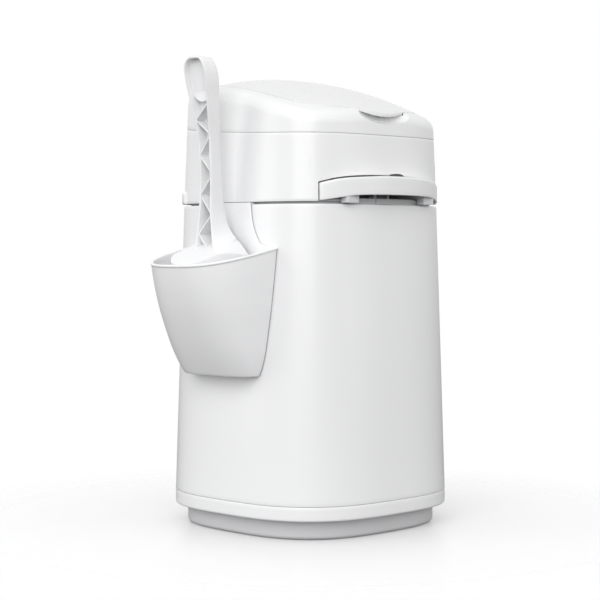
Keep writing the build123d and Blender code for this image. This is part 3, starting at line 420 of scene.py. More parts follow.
def ring(ts, z, off=0.0):
    z = np.broadcast_to(np.asarray(z, float), ts.shape)
    r = wall_r(ts, z, off)
    return np.stack([r * np.cos(ts), r * np.sin(ts), z], 1)


def se_ring(a, b, n, z, cy=0.0, ts=TS):
    r = polar(ts, a, b, n)
    return np.stack([r * np.cos(ts), cy + r * np.sin(ts), np.full(len(ts), float(z))], 1)


def wall_x(y, z, off=0.0):
    """x of the -X wall at (y, z)."""
    y, z = np.broadcast_arrays(np.asarray(y, float), np.asarray(z, float))
    lo, hi = np.full(y.shape, -1.45), np.full(y.shape, 1.45)
    for _ in range(48):
        mid = 0.5 * (lo + hi)
        up = wall_r(mid, z, off) * np.sin(mid) < y
        lo, hi = np.where(up, mid, lo), np.where(up, hi, mid)
    return -wall_r(lo, z, off) * np.cos(lo)


def top_z(x, y):
    v = y / 100.0
    return 427.97 + 17.87 * v - 19.51 * v * v - 2.73 * v ** 3 - 16.27 * np.abs(x / 100.0) ** 2.2


def seam_z(y):
    return 371.3 + 3.2e-4 * (y + 100.0) ** 2


def dome_g(x, y, z):
    """Roughly the distance outside the head's outer skin: side wall, domed top and the round between them."""
    d = (z - Z_RIM) * DRAFT
    a, b, n = RIM_A - d, RIM_B - d, RIM_N
    u, v = np.maximum(np.abs(x) / a, 1e-9), np.maximum(np.abs(y) / b, 1e-9)
    N = (u ** n + v ** n) ** (1.0 / n)
    gx = N ** (1 - n) * u ** (n - 1) / a
    gy = N ** (1 - n) * v ** (n - 1) / b
    dw = (N - 1.0) / np.sqrt(gx * gx + gy * gy)
    w = y / 100.0
    tx = -16.27 * 2.2 * np.abs(x / 100.0) ** 1.2 / 100.0
    ty = (17.87 - 39.02 * w - 8.19 * w * w) / 100.0
    dt = (z - top_z(x, y)) / np.sqrt(1 + tx * tx + ty * ty)
    nt = np.sqrt(1 + tx * tx + ty * ty)
    gn = np.sqrt(gx * gx + gy * gy)
    c = (-tx * gx / gn - ty * np.sign(y) * gy / gn + DRAFT) / nt
    p, q = dw + DOME_R, dt + DOME_R
    inside = (p - q * c > 0) & (q - p * c > 0)
    round_ = np.sqrt(np.maximum(p * p + q * q - 2 * p * q * c, 0) / (1 - c * c)) - DOME_R
    return np.where(inside, round_, np.maximum(dw, dt))


def dome_z(x, y, off=0.0):
    """Height of the head's skin inset by off, above (x, y)."""
    hi = top_z(x, y) + 2.0
    lo = hi - 60.0
    for _ in range(46):
        mid = 0.5 * (lo + hi)
        inside = dome_g(x, y, mid) < -off
        lo, hi = np.where(inside, mid, lo), np.where(inside, hi, mid)
    return lo


def on_ray(o, d, off, far=90.0):
    """First point outward from o along d where the skin inset by off is met; rows of 3."""
    lo, hi = np.zeros(len(o)), np.full(len(o), far)
    for _ in range(46):
        mid = 0.5 * (lo + hi)
        p = o + d * mid[:, None]
        inside = dome_g(p[:, 0], p[:, 1], p[:, 2]) < -off
        lo, hi = np.where(inside, mid, lo), np.where(inside, hi, mid)
    return o + d * lo[:, None]


LIP = [(40.5, -88.0), (37.0, -90.4), (33.0, -92.8), (27.0, -95.1), (20.5, -96.8), (13.5, -98.1), (7.0, -98.9), (0.0, -99.1)]
_lip = spline([x for x, _ in sorted(LIP)] , [y for _, y in sorted(LIP)])


def lid_r(ts, off, lip=True, reach=None):
    """Distance of the lid's outline from the upright axis at angle ts, grown by off."""
    lo, hi = np.full(len(ts), 20.0), np.full(len(ts), 130.0)
    c, s = np.cos(ts), np.sin(ts)
    for _ in range(46):
        mid = 0.5 * (lo + hi)
        x, y = mid * c, mid * s
        inside = (np.abs(x) / (LID_A + off)) ** LID_N + (np.abs(y - LID_Y) / (LID_B + off)) ** LID_N < 1
        if lip:
            w = np.abs(x) / (1 + 0.7 * off / 40.5)
            inside |= (w < 40.5) & (y < 0) & (y > _lip(np.minimum(w, 40.5)) - off)
        lo, hi = np.where(inside, mid, lo), np.where(inside, hi, mid)
    return lo if reach is None else np.minimum(lo, reach)


# ------------------------------------------------------------------- the base
def stack(rows_):
    return np.array(rows_)


def build_base():
    rows_ = [se_ring(PLINTH_A - 60, PLINTH_B - 60, BASE_N, 0.0)]
    for i in range(9):
        q = i / 8 * math.pi / 2
        o = 4.0 * (1 - math.sin(q))
        rows_.append(se_ring(PLINTH_A - o, PLINTH_B - o, BASE_N, 4.0 * (1 - math.cos(q))))
    for z, o in ((9.0, 0), (14.0, 0), (17.9, 0), (18.3, 0.4), (18.3, 2.1), (17.9, 2.5), (4.2, 2.5), (2.9, 3.3), (2.6, 5.0), (2.6, 60.0)):
        rows_.append(se_ring(PLINTH_A - o, PLINTH_B - o, BASE_N, z))
    # the foot's grey is painted shade for the shade under the base ring
    done(raw("base_pan", [add_grid(stack(rows_), wrap_cols=True, cap_first=True, cap_last=True)]), "base_pan_shell", "base_pan", M_FOOT_SHADE_PAINTED)

    rows_ = [se_ring(BASE_A - 15.68, BASE_B - 15.68, BASE_N, Z_PLINTH + 0.25)]
    prof = [(15.3, Z_PLINTH), (8.0, Z_PLINTH)]
    for i in range(8):
        q = i / 7 * math.pi / 2
        prof.append((2.2 * (1 - math.sin(q)), Z_PLINTH + 2.2 * (1 - math.cos(q))))
    prof += [(0.0, 24.0), (0.0, 28.0), (0.0, 31.2), (0.12, 31.65), (0.45, 31.93), (0.9, Z_SEAM), (2.3, Z_SEAM), (2.6, 31.7),
             (2.6, 22.5), (3.1, 21.3), (4.3, 20.9), (15.3, 20.9), (15.68, 20.6)]
    for o, z in prof:
        rows_.append(se_ring(BASE_A - o, BASE_B - o, BASE_N, z))
    done(raw("base_ring", [add_grid(stack(rows_), wrap_rows=True, wrap_cols=True)]), "base_ring_shell", "base_ring", M_WHITE)


def build_pail():
    rows_ = [ring(TS, Z_SEAM, 40.0)]
    prof = [(1.0, Z_SEAM), (0.5, 32.06), (0.14, 32.32), (0.0, 32.75)]
    prof += [(0.0, z) for z in np.linspace(36, 304, 26)]
    prof += [(0.0, 305.9), (0.1, 306.4), (0.35, 306.7), (0.7, 306.8), (1.8, 306.8), (2.2, 306.65), (2.4, 306.3)]
    prof += [(2.4, z) for z in np.linspace(302, 40, 14)]
    prof += [(2.4, 36.6), (2.9, 35.3), (4.2, 34.6), (40.0, 34.6)]
    for o, z in prof:
        rows_.append(ring(TS, z, o))
    # bring the rim down to its own level: the wall formula changes draft above it
    body = raw("pail_body", [add_grid(stack(rows_), wrap_cols=True, cap_first=True, cap_last=True)])
    ears = []
    for sx in (-1, 1):
        arc = [(HINGE_Y + 3.6 * math.cos(math.radians(q)), HINGE_Z + 3.6 * math.sin(math.radians(q))) for q in range(-60, 201, 13)]
        pts = [(96.9, 284.0), (102.6, 280.0), (103.4, 306.0)] + arc + [(98.2, 306.0)]
        ear = raw("ear", [extruded(pts, "x", sx * 30 - 4.0, sx * 30 + 4.0)])
        ears.append(soften(ear, 0.35, 2))
    done(join("pail_body", [body] + ears), "pail_body_shell", "pail_body", M_WHITE)


# ------------------------------------------------------------------- the head
ARCH = spline([-80.4, -68, -52, -34, 0, 34, 52, 68, 80.4], [326.6, 329.9, 332.2, 333.5, 334.1, 333.5, 332.2, 329.9, 326.6])


def build_ring():
    edge = []
    for sx in (-1, 1):
        lo, hi = -math.pi / 2, (-0.2 if sx > 0 else -math.pi + 0.2)
        for _ in range(50):
            mid = 0.5 * (lo + hi)
            if abs(float(wall_r(mid, 318.0)) * math.cos(mid)) < 80.4:
                lo = mid
            else:
                hi = mid
        edge.append(lo)
    fine = []
    for e in edge:
        fine += [e - 2e-5, e + 2e-5]
    ts = np.array(sorted(set(list((TS + math.pi) % TAU - math.pi) + fine)))
    ts = np.array([t for t in ts if min(abs(t - e) for e in edge) < 3e-5 or min(abs(t - e) for e in edge) > 0.004])
    x = wall_r(ts, 318.0) * np.cos(ts)
    arched = (ts > edge[0] if edge[0] < edge[1] else ts > edge[1]) & (ts < max(edge))
    zl = np.where(arched, ARCH(np.clip(x, -80.4, 80.4)), Z_HEAD)
    zh = seam_z(wall_r(ts, 378.0) * np.sin(ts)) - 0.02
    rows_ = []

    def row(z, off):
        r = wall_r(ts, z, off)
        rows_.append(np.stack([r * np.cos(ts), r * np.sin(ts), z], 1))

    row(zl, 0.55)
    row(zl + 0.13, 0.14)
    row(zl + 0.5, 0.0)
    for k in np.linspace(0.04, 0.96, 14):
        row(zl + 0.5 + (zh - zl - 1.0) * k, 0.0)
    row(zh - 0.45, 0.0)
    row(zh - 0.13, 0.12)
    row(zh, 0.5)
    row(zh, WALL)
    for k in np.linspace(0.95, 0.05, 8):
        row(zl + (zh - zl) * k, WALL)
    row(zl, WALL)
    shell = raw("head_ring", [add_grid(np.array(rows_), wrap_rows=True, wrap_cols=True)])
    # rounded band round the back, over the hinge
    far = [t for t in np.linspace(0.02, math.pi - 0.02, 420) if float(wall_r(t, 315.0)) * math.sin(t) > 71.2]
    tb = np.array(far)
    run = np.minimum(np.arange(len(tb)), np.arange(len(tb))[::-1]) * 0.75
    k = np.sqrt(1 - (1 - np.clip(run / 2.6, 0.0, 1)) ** 2) * 0.98 + 0.02
    prof = [(-0.55, 309.0), (1.2, 309.0), (1.85, 309.25), (2.2, 309.8), (2.3, 310.6), (2.28, 313.0), (2.25, 317.0), (2.2, 318.6),
            (1.95, 319.7), (1.35, 320.35), (0.5, 320.6), (-0.55, 320.6)]
    rows_ = []
    for o, z in prof:
        r = polar(tb, RIM_A, RIM_B, RIM_N) + (o * k if o > 0 else o) + (-(z - Z_RIM) * DRAFT if o <= 0 else 0)
        rows_.append(np.stack([r * np.cos(tb), r * np.sin(tb), np.full(len(tb), z)], 1))
    P = np.array(rows_).transpose(1, 0, 2)
    band = raw("band", [add_grid(P, wrap_cols=True, cap_first=True, cap_last=True)])
    for o in (shell, band):
        for sx in (-1, 1):
            boolean(o, raw("slot", [block(sx * 30 - 4.5, sx * 30 + 4.5, 90, 112, 300, 317.5)]))
            boolean(o, raw("slot", [rod("x", 1.56, sx * 30 - 12, sx * 30 + 12, HINGE_Y, HINGE_Z, 32, 0.01)]))
    more = []
    for sx in (-1, 1):
        for a, b in ((4.4, 9.6), (-9.6, -4.4)):
            more.append(raw("lug", [rod("x", 3.3, sx * 30 + a, sx * 30 + b, HINGE_Y, HINGE_Z)]))
        for sy in (-1, 1):
            more.append(raw("boss", [rod("z", 4.5, 324.0, 346.0, sx * 76.0, sy * 76.0)]))
            g = [(76 + 1.1, 78.2), (78.2, 76 + 1.1), (86.6, 85.4), (85.4, 86.6)]
            more.append(raw("gusset", [extruded([(sx * a, sy * b) for a, b in g], "z", 324.5, 346.0)]))
    done(join("head_ring", [shell, band] + more), "head_ring_shell", "head_ring", M_WHITE)


def column_centres(ts):
    """Centre of the dome's edge round in each upright plane."""
    r = wall_r(ts, 392.0)
    g = 1.0 / RIM_N
    c = []
    for t, rr in zip(ts, r):
        # angle between the ray and the wall's normal
        x, y = abs(math.cos(t)) * rr / 101.9, abs(math.sin(t)) * rr / 101.1
        nx, ny = x ** (RIM_N - 1) / 101.9, y ** (RIM_N - 1) / 101.1
        k = (nx * abs(math.cos(t)) + ny * abs(math.sin(t))) / math.hypot(nx, ny)
        c.append(rr - DOME_R / k)
    c = np.array(c)
    x, y = c * np.cos(ts), c * np.sin(ts)
    w = y / 100.0
    tx = -16.27 * 2.2 * np.abs(x / 100.0) ** 1.2 / 100.0
    ty = (17.87 - 39.02 * w - 8.19 * w * w) / 100.0
    z = top_z(x, y) - DOME_R * np.sqrt(1 + tx * tx + ty * ty)
    return c, z


def build_cover():
    ts = TS
    c, s = np.cos(ts), np.sin(ts)
    rc, zc = column_centres(ts)
    O = np.stack([rc * c, rc * s, zc], 1)
    zs = seam_z(wall_r(ts, 378.0) * s) + 0.02
    rl = lid_r(ts, GAP_COVER, lip=False)
    zl = dome_z(rl * c, rl * s)
    rs = wall_r(ts, zs)
    f0 = np.arctan2(zs + 0.6 - zc, rs - rc)
    f1 = np.arctan2(zl - zc, rl - rc)

    def fan_rows(off, fa, fb, ks):
        out = []
        for k in ks:
            f = fa + (fb - fa) * k
            d = np.stack([np.cos(f) * c, np.cos(f) * s, np.sin(f)], 1)
            out.append(on_ray(O, d, off))
        return out

    rows_ = []
    r = wall_r(ts, zs)
    rows_.append(np.stack([(r - 0.5) * c, (r - 0.5) * s, zs], 1))
    rows_.append(np.stack([(r - 0.12) * c, (r - 0.12) * s, zs + 0.13], 1))
    outer = fan_rows(0.0, f0, f1, np.linspace(0, 0.93, 34))
    rows_ += outer
    # softened edge, then down into the lid's gap
    for dr, dz in ((1.1, 0.0), (0.7, 0.07), (0.35, 0.28), (0.1, 0.62)):
        ra = rl + dr
        rows_.append(np.stack([ra * c, ra * s, dome_z(ra * c, ra * s) - dz], 1))
    rows_.append(np.stack([rl * c, rl * s, zl - 1.0], 1))
    z2 = dome_z(rl * c, rl * s, 2.3)
    rows_.append(np.stack([rl * c, rl * s, z2], 1))
    rf = np.minimum(lid_r(ts, -4.0, lip=False), rl - 1.0)
    for k in (0.5, 1.0):
        q = rl + (rf - rl) * k
        rows_.append(np.stack([q * c, q * s, dome_z(q * c, q * s, 2.3)], 1))
    z4 = dome_z(rf * c, rf * s, 4.4)
    rows_.append(np.stack([rf * c, rf * s, z4], 1))
    g1 = np.arctan2(z4 - zc, rf - rc)
    ri = wall_r(ts, zs, 4.4)
    g0 = np.arctan2(zs + 0.3 - zc, ri - rc)
    rows_ += fan_rows(4.4, g1, g0, np.linspace(0.04, 1, 18))
    rows_.append(np.stack([ri * c, ri * s, zs], 1))
    cover = raw("cover", [add_grid(np.array(rows_), wrap_rows=True, wrap_cols=True)])

    # room for the lid's front lip
    xs = np.linspace(-40.5, 40.5, 61) * (1 + 0.7 * GAP_COVER / 40.5)
    loop = []
    for x in xs:
        y1 = float(_lip(min(abs(x) / (1 + 0.7 * GAP_COVER / 40.5), 40.5))) - GAP_COVER
        y = np.linspace(-84.0, y1, 14)
        z = np.maximum(dome_z(np.full(14, x), y, 2.3), 384.0)
        loop.append(np.vstack([np.stack([np.full(14, x), y, z], 1), [[x, y1, 425.0], [x, -84.0, 425.0]]]))
    boolean(cover, raw("lip", [add_grid(np.array(loop), wrap_cols=True, cap_first=True, cap_last=True)]))

    # the bowl behind the thumb recess
    inset = []
    for k in np.linspace(0, 1, 20):
        f = np.full(len(ts), -1.0) + (math.pi / 2 + 1.0) * k
        d = np.stack([np.cos(f) * c, np.cos(f) * s, np.sin(f)], 1)
        inset.append(on_ray(O, d, 2.6))
    top = inset[-1]
    for k in (0.85, 0.6, 0.3, 0.08):
        x, y = top[:, 0] * k, top[:, 1] * k
        inset.append(np.stack([x, y, dome_z(x, y, 2.6)], 1))
    base = inset[0].copy()
    base[:, 2] = 362.0
    inset.insert(0, base)
    solid = raw("inset", [add_grid(np.array(inset), wrap_cols=True, cap_first=True, cap_last=True)])
    bowl = raw("bowl", [ellipsoid((0, -101.6, 396.0), (40.2, 14.2, 16.7))])
    boolean(bowl, solid, "INTERSECT")
    boolean(cover, bowl, "UNION")
    boolean(cover, raw("recess", [ellipsoid((0, -101.6, 396.0), (38.0, 12.0, 14.5), 96, 64)]))
    # pocket for the lid's hinge
    boolean(cover, raw("p", [block(-14.3, 14.3, 77.5, 84.0, 423.6, 440.0)]))
    boolean(cover, raw("p", [rod("x", 3.3, -14.3, 14.3, LIDH_Y, LIDH_Z, 48, 0.01)]))
    soft = []
    for a, b in ((-24.0, -14.6), (14.6, 24.0)):
        soft.append(raw("k", [rod("x", 2.7, a, b, LIDH_Y, LIDH_Z)]))
        soft.append(soften(raw("k", [block(a, b, LIDH_Y - 2.2, LIDH_Y + 4.0, 420.5, LIDH_Z - 1.6)]), 0.3))
    done(join("head_cover", [cover] + soft), "head_cover_shell", "head_cover", M_WHITE, sharp=36.0)


def ellipsoid(centre, r, cols=96, rows=48):
    t = np.linspace(0, TAU, cols, endpoint=False)
    out = []
    for f in np.linspace(-math.pi / 2 + 0.02, math.pi / 2 - 0.02, rows):
        out.append(np.stack([centre[0] + r[0] * np.cos(t) * math.cos(f), centre[1] + r[1] * np.sin(t) * math.cos(f),
                             np.full(cols, centre[2] + r[2] * math.sin(f))], 1))
    return add_grid(np.array(out), wrap_cols=True, cap_first=True, cap_last=True)


def build_lid():
    ts = np.linspace(0, TAU, 400, endpoint=False)
    c, s = np.cos(ts), np.sin(ts)
    rl = lid_r(ts, -GAP_LID, lip=True)

    def under(x, y):
        z = dome_z(x, y, 1.95)
        line = 388.4 + (y + 99.5) * (393.6 - 388.4) / 7.5
        return np.where((y < -92.0) & (np.abs(x) < 45), np.maximum(z, np.minimum(line, dome_z(x, y) - 1.2)), z)

    rows_ = []
    for k in [0.02, 0.06, 0.12] + list(np.linspace(0.2, 0.96, 20)):
        x, y = rl * k * c, rl * k * s
        rows_.append(np.stack([x, y, dome_z(x, y)], 1))
    for d, dz in ((2.0, 0.0), (1.2, 0.0), (0.7, 0.0), (0.3, 0.03), (0.09, 0.14)):
        x, y = (rl - d) * c, (rl - d) * s
        rows_.append(np.stack([x, y, dome_z(x, y) - dz], 1))
    x, y = rl * c, rl * s
    rows_.append(np.stack([x, y, dome_z(x, y) - 0.36], 1))
    zu = np.minimum(under(x, y), dome_z(x, y) - 1.25)
    rows_.append(np.stack([x, y, zu + 0.25], 1))
    for d in (0.25, 1.5, 3.0, 5.0):
        x, y = (rl - d) * c, (rl - d) * s
        rows_.append(np.stack([x, y, under(x, y)], 1))
    for k in list(np.linspace(0.92, 0.1, 12)) + [0.02]:
        x, y = rl * k * c, rl * k * s
        rows_.append(np.stack([x, y, under(x, y)], 1))
    lid = raw("lid", [add_grid(np.array(rows_), wrap_cols=True, cap_first=True, cap_last=True)])
    for a, b in ((-24.6, -13.9), (13.9, 24.6)):
        boolean(lid, raw("k", [rod("x", 2.9, a, b, LIDH_Y, LIDH_Z, 48, 0.01)]))
    arc = [(LIDH_Y + 2.6 * math.cos(math.radians(q)), LIDH_Z + 2.6 * math.sin(math.radians(q))) for q in range(-90, 91, 12)]
    web = raw("w", [extruded([(76.6, 425.3), (80.4, 424.9)] + arc + [(76.6, 427.4)], "x", -13.9, 13.9)])
    web = soften(web, 0.25, 2)
    done(join("lid_shell", [lid, web]), "lid_shell_skin", "lid_shell", M_LID_SHADE_PAINTED)

# ----------------------------------------------------------------- the handle
HT = spline([-79.5, -68, -55, -36, -18, 0, 18, 36, 55, 68, 79.5],
            [325.7, 328.8, 330.7, 332, 332.8, 333, 332.8, 332, 330.7, 328.8, 325.7])
HB = spline([-79.5, -68.6, -56, -36, -18, 0, 18, 36, 56, 68.6, 79.5],
            [309.9, 311.8, 313.9, 315.2, 315.5, 315.6, 315.5, 315.2, 313.9, 311.8, 309.9])


def bow(x):
    return -(94.5 + 22.5 * (1.0 - np.abs(x / HANDLE_X) ** 3))


def build_handle():
    def front(xs):
        """Front face with a rounded top edge and a softened lower edge, from the bottom up."""
        y, zt, zb = bow(xs), HT(xs), HB(xs)
        out = [np.stack([xs, y + 0.75, zb], 1), np.stack([xs, y + 0.3, zb + 0.12], 1), np.stack([xs, y + 0.06, zb + 0.4], 1)]
        for k in (0.0, 0.2, 0.5, 0.8, 1.0):
            out.append(np.stack([xs, y, (zb + 0.8) * (1 - k) + (zt - 1.9) * k], 1))
        for i in range(1, 9):
            q = i / 8 * math.pi / 2
            out.append(np.stack([xs, y + 1.9 * (1 - math.cos(q)), zt - 1.9 * (1 - math.sin(q))], 1))
        return out

    w = HANDLE_X - 2.4
    xs = np.linspace(-w, w, 161)
    zt = HT(xs)
    back = np.where(np.abs(xs) < HANDLE_X - 9.0, -97.5, np.where(np.abs(xs) < HANDLE_X - 6.0, -97.5 + (np.abs(xs) - (HANDLE_X - 9)) / 3.0 * 6.3, -91.2))
    rows_ = front(xs)
    rows_.append(np.stack([xs, back - 0.4, zt], 1))
    rows_.append(np.stack([xs, back - 0.1, zt - 0.12], 1))
    rows_.append(np.stack([xs, back, zt - 0.4], 1))
    rows_.append(np.stack([xs, back, zt - 2.2], 1))
    yi = bow(xs) + 2.6
    rows_.append(np.stack([xs, np.minimum(yi + 0.8, back - 0.3), zt - 2.2], 1))
    rows_.append(np.stack([xs, np.minimum(yi, back - 0.6), zt - 2.9], 1))
    rows_.append(np.stack([xs, np.minimum(yi, back - 0.6), HB(xs) + 0.3], 1))
    rows_.append(np.stack([xs, np.minimum(yi - 0.3, back - 0.9), HB(xs)], 1))
    P = np.array(rows_).transpose(1, 0, 2)
    main = raw("handle", [add_grid(P, wrap_cols=True, cap_first=True, cap_last=True)])
    ends = []
    for sx in (-1, 1):
        q = np.array([w, w + 0.8, w + 1.6, w + 2.0, w + 2.25, w + 2.4])
        drop = np.array([0, 0, 0, 0.12, 0.35, 0.9])
        x = sx * q
        fr = front(x)
        y, zt_, zb_ = bow(x), HT(x), HB(x)
        loop = fr + [np.stack([x, np.full(6, -91.6), zt_], 1), np.stack([x, np.full(6, -91.2), zt_ - 0.4], 1),
                     np.stack([x, np.full(6, -91.2), zb_ + 0.3], 1), np.stack([x, np.full(6, -91.5), zb_], 1)]
        P = np.array(loop).transpose(1, 0, 2)
        cy, cz = P[:, :, 1].mean(1, keepdims=True), P[:, :, 2].mean(1, keepdims=True)
        P[:, :, 1] -= np.sign(P[:, :, 1] - cy) * drop[:, None]
        P[:, :, 2] -= np.sign(P[:, :, 2] - cz) * drop[:, None]
        ends.append(raw("end", [add_grid(P, wrap_cols=True, cap_first=True, cap_last=True)]))
    for o in (main,):
        boolean(o, raw("slot", [block(-8.9, 8.9, BUTTON_Y - 1.9, BUTTON_Y + 1.9, 327.6, 340)]))
    for sx in (-1, 1):
        pts = [(-108.0, 316.5), (-100.0, 316.5), (-100.0, 329.0), (-108.0, 329.0)]
        ends.append(soften(raw("pad", [extruded(pts, "x", sx * 52 - 7, sx * 52 + 7)]), 0.4))
    guide = raw("guide", [block(-5.0, 5.0, -116.0, -109.0, 324.0, 331.4)])
    boolean(guide, raw("slot", [block(-8.9, 8.9, BUTTON_Y - 1.9, BUTTON_Y + 1.9, 327.6, 340)]))
    boolean(guide, raw("slot", [block(-2.6, 2.6, BUTTON_Y - 1.6, BUTTON_Y + 1.6, 320, 340)]))
    ends.append(guide)
    done(join("pull_handle", [main] + ends), "pull_handle_shell", "pull_handle", M_WHITE, sharp=40.0)


# ------------------------------------------------------------ the scoop holder
POCKET = [(149.0, 46.8, 21.4, 3.50), (156.0, 49.2, 26.3, 3.47), (165.0, 51.6, 32.2, 3.42), (178.0, 53.8, 39.8, 3.35),
          (192.0, 55.4, 47.0, 3.27), (207.0, 57.2, 54.0, 3.18), (223.0, 58.6, 60.4, 3.08),
          (240.0, 60.0, 65.9, 2.98), (257.0, 61.2, 70.5, 2.85), (274.0, 62.0, 75.0, 2.75)]
_pw = spline([p[0] for p in POCKET], [p[1] for p in POCKET])
_pd = spline([p[0] for p in POCKET], [p[2] for p in POCKET])
_pn = spline([p[0] for p in POCKET], [p[3] for p in POCKET])
SINK, RIM_TILT, Z_POCKET = 10.0, 0.223, 267.1
STRAP = [(29.0, 306.8), (31.3, 293.0), (36.4, 280.0), (41.1, 272.6), (46.4, 269.4), (57.0, 267.2), (60.5, 266.5)]


def pocket_pt(t, z, off):
    """Point of the pocket's skin at plan angle t (0 points away from the pail) and height z."""
    a = BASE_A + (RIM_A - BASE_A) * (z - Z_SEAM) / (Z_RIM - Z_SEAM)
    r = ((np.abs(np.cos(t)) / (_pd(z) + SINK - off)) ** _pn(z) + (np.abs(np.sin(t)) / (_pw(z) - off)) ** _pn(z)) ** (-1.0 / _pn(z))
    return np.stack([-(a - SINK) - r * np.cos(t), r * np.sin(t), z], 1)


def build_holder():
    ts = np.linspace(-math.pi / 2 - 0.25, math.pi / 2 + 0.25, 181)

    def rim_z(off, up=0.0):
        z = np.full(len(ts), 258.0)
        for _ in range(30):
            p = pocket_pt(ts, z, off)
            z = Z_POCKET + RIM_TILT * (p[:, 0] + 104.8) + up
        return z

    rows_ = []
    # bottom: rounded into the wall
    base = pocket_pt(ts, np.full(len(ts), 149.0), 0.0)
    cx = -(BASE_A + (RIM_A - BASE_A) * (149 - Z_SEAM) / (Z_RIM - Z_SEAM) - SINK)
    for k, dz in ((0.3, 0.0), (0.9, 0.0)):
        q = base.copy()
        q[:, 0] = cx + (q[:, 0] - cx) * k
        q[:, 1] *= k
        q[:, 2] = 149.0 + dz
        rows_.append(q)
    for i in range(1, 7):
        a = i / 6 * math.pi / 2
        o, dz = 1.4 * (1 - math.sin(a)), 1.4 * (1 - math.cos(a))
        rows_.append(pocket_pt(ts, np.full(len(ts), 149.0 + dz), o))
    zr = rim_z(0.0, -2.6)
    for k in np.linspace(0.03, 1, 34):
        rows_.append(pocket_pt(ts, 150.4 + (zr - 150.4) * k, 0.0))
    for up, off in ((-2.45, -0.35), (-2.1, -0.65), (-1.6, -0.8), (-0.9, -0.8), (-0.4, -0.65), (-0.1, -0.3), (0.0, 0.15), (0.0, 1.3),
                    (-0.15, 1.75), (-0.6, 2.0)):
        rows_.append(pocket_pt(ts, rim_z(off, up), off))
    zi = rim_z(2.0, -1.2)
    for k in np.linspace(1, 0.0, 20):
        rows_.append(pocket_pt(ts, 155.0 + (zi - 155.0) * k, 2.0))
    for i in range(1, 5):
        a = i / 4 * math.pi / 2
        rows_.append(pocket_pt(ts, np.full(len(ts), 155.0 - 3.0 * math.sin(a)), 2.0 + 3.0 * (1 - math.cos(a))))
    q = rows_[-1].copy()
    q[:, 0] = cx + (q[:, 0] - cx) * 0.3
    q[:, 1] *= 0.3
    rows_.append(q)
    P = np.array(rows_)
    pocket = raw("pocket", [add_grid(P.transpose(1, 0, 2), wrap_cols=True, cap_first=True, cap_last=True)])
    zz = [120.0, 140.0, 180.0, 220.0, 260.0, 300.0, 306.0]
    cutter = raw("wall", [add_grid(np.array([ring(TS, z, -1.65) for z in zz]), wrap_cols=True, cap_first=True, cap_last=True)])
    boolean(pocket, cutter)

    # plate on the pail's wall: back of the pocket and the strap above it
    hs = spline([z for _, z in reversed(STRAP)], [y for y, _ in reversed(STRAP)])
    zs = np.concatenate([np.linspace(149.6, 262.0, 40), np.linspace(263.2, 266.2, 3), np.linspace(266.6, 275, 22), np.linspace(276, 306.4, 26), [306.8]])
    half_w = np.where(zs <= 266.5, _pw(np.clip(zs, 149, 274)) - 2.0, hs(np.clip(zs, 266.5, 306.8)))
    half_w = np.where((zs > 262.5) & (zs <= 266.5), 60.0, half_w)
    half_w = np.minimum(half_w, 60.4)
    vs = np.linspace(-1, 1, 61)

    def skin(off, inset, dz=0.0):
        out = []
        for z, h in zip(zs, half_w):
            y = vs * (h - inset)
            out.append(np.stack([wall_x(y, z, off), y, np.full(len(vs), z)], 1))
        return np.array(out)

    def rim_loop(S):
        return np.concatenate([S[0, :], S[1:, -1], S[-1, -2::-1], S[-2:0:-1, 0]])

    front, back = skin(-1.65, 0.4), skin(-0.05, 0.9)
    V, F = [], []

    def put(S, flip):
        base = sum(len(v) for v in V)
        v, f = add_grid(S)
        V.append(v)
        F.extend([tuple(base + i for i in (reversed(q) if flip else q)) for q in f])

    put(front, False)
    put(back, True)
    loops = [rim_loop(front), rim_loop(skin(-1.5, 0.1)), rim_loop(skin(-1.3, 0.0)), rim_loop(skin(-0.95, 0.0)),
             rim_loop(skin(-0.85, 0.15)), rim_loop(skin(-0.8, 0.9)), rim_loop(back)]
    base = sum(len(v) for v in V)
    v, f = add_grid(np.array(loops), wrap_cols=True)
    V.append(v)
    F.extend([tuple(base + i for i in q) for q in f])
    plate = raw("plate", [(np.vstack(V), F)])

    ys = np.linspace(-28.9, 28.9, 41)
    loop = [(-1.65, 306.8), (-1.65, 308.1), (-1.5, 308.45), (-1.1, 308.6), (3.6, 308.6), (4.0, 308.4), (4.1, 308.0), (4.1, 297.4), (3.9, 297.0),
            (2.7, 297.0), (2.5, 297.3), (2.5, 306.85), (-0.05, 306.85), (-0.05, 306.8)]
    rows_ = [np.stack([wall_x(ys, min(z, Z_RIM), o), ys, np.full(len(ys), z)], 1) for o, z in loop]
    hook = raw("hook", [add_grid(np.array(rows_).transpose(1, 0, 2), wrap_cols=True, cap_first=True, cap_last=True)])
    done(join("scoop_holder", [pocket, plate, hook]), "scoop_holder_shell", "scoop_holder", M_HOLDER, sharp=40.0)



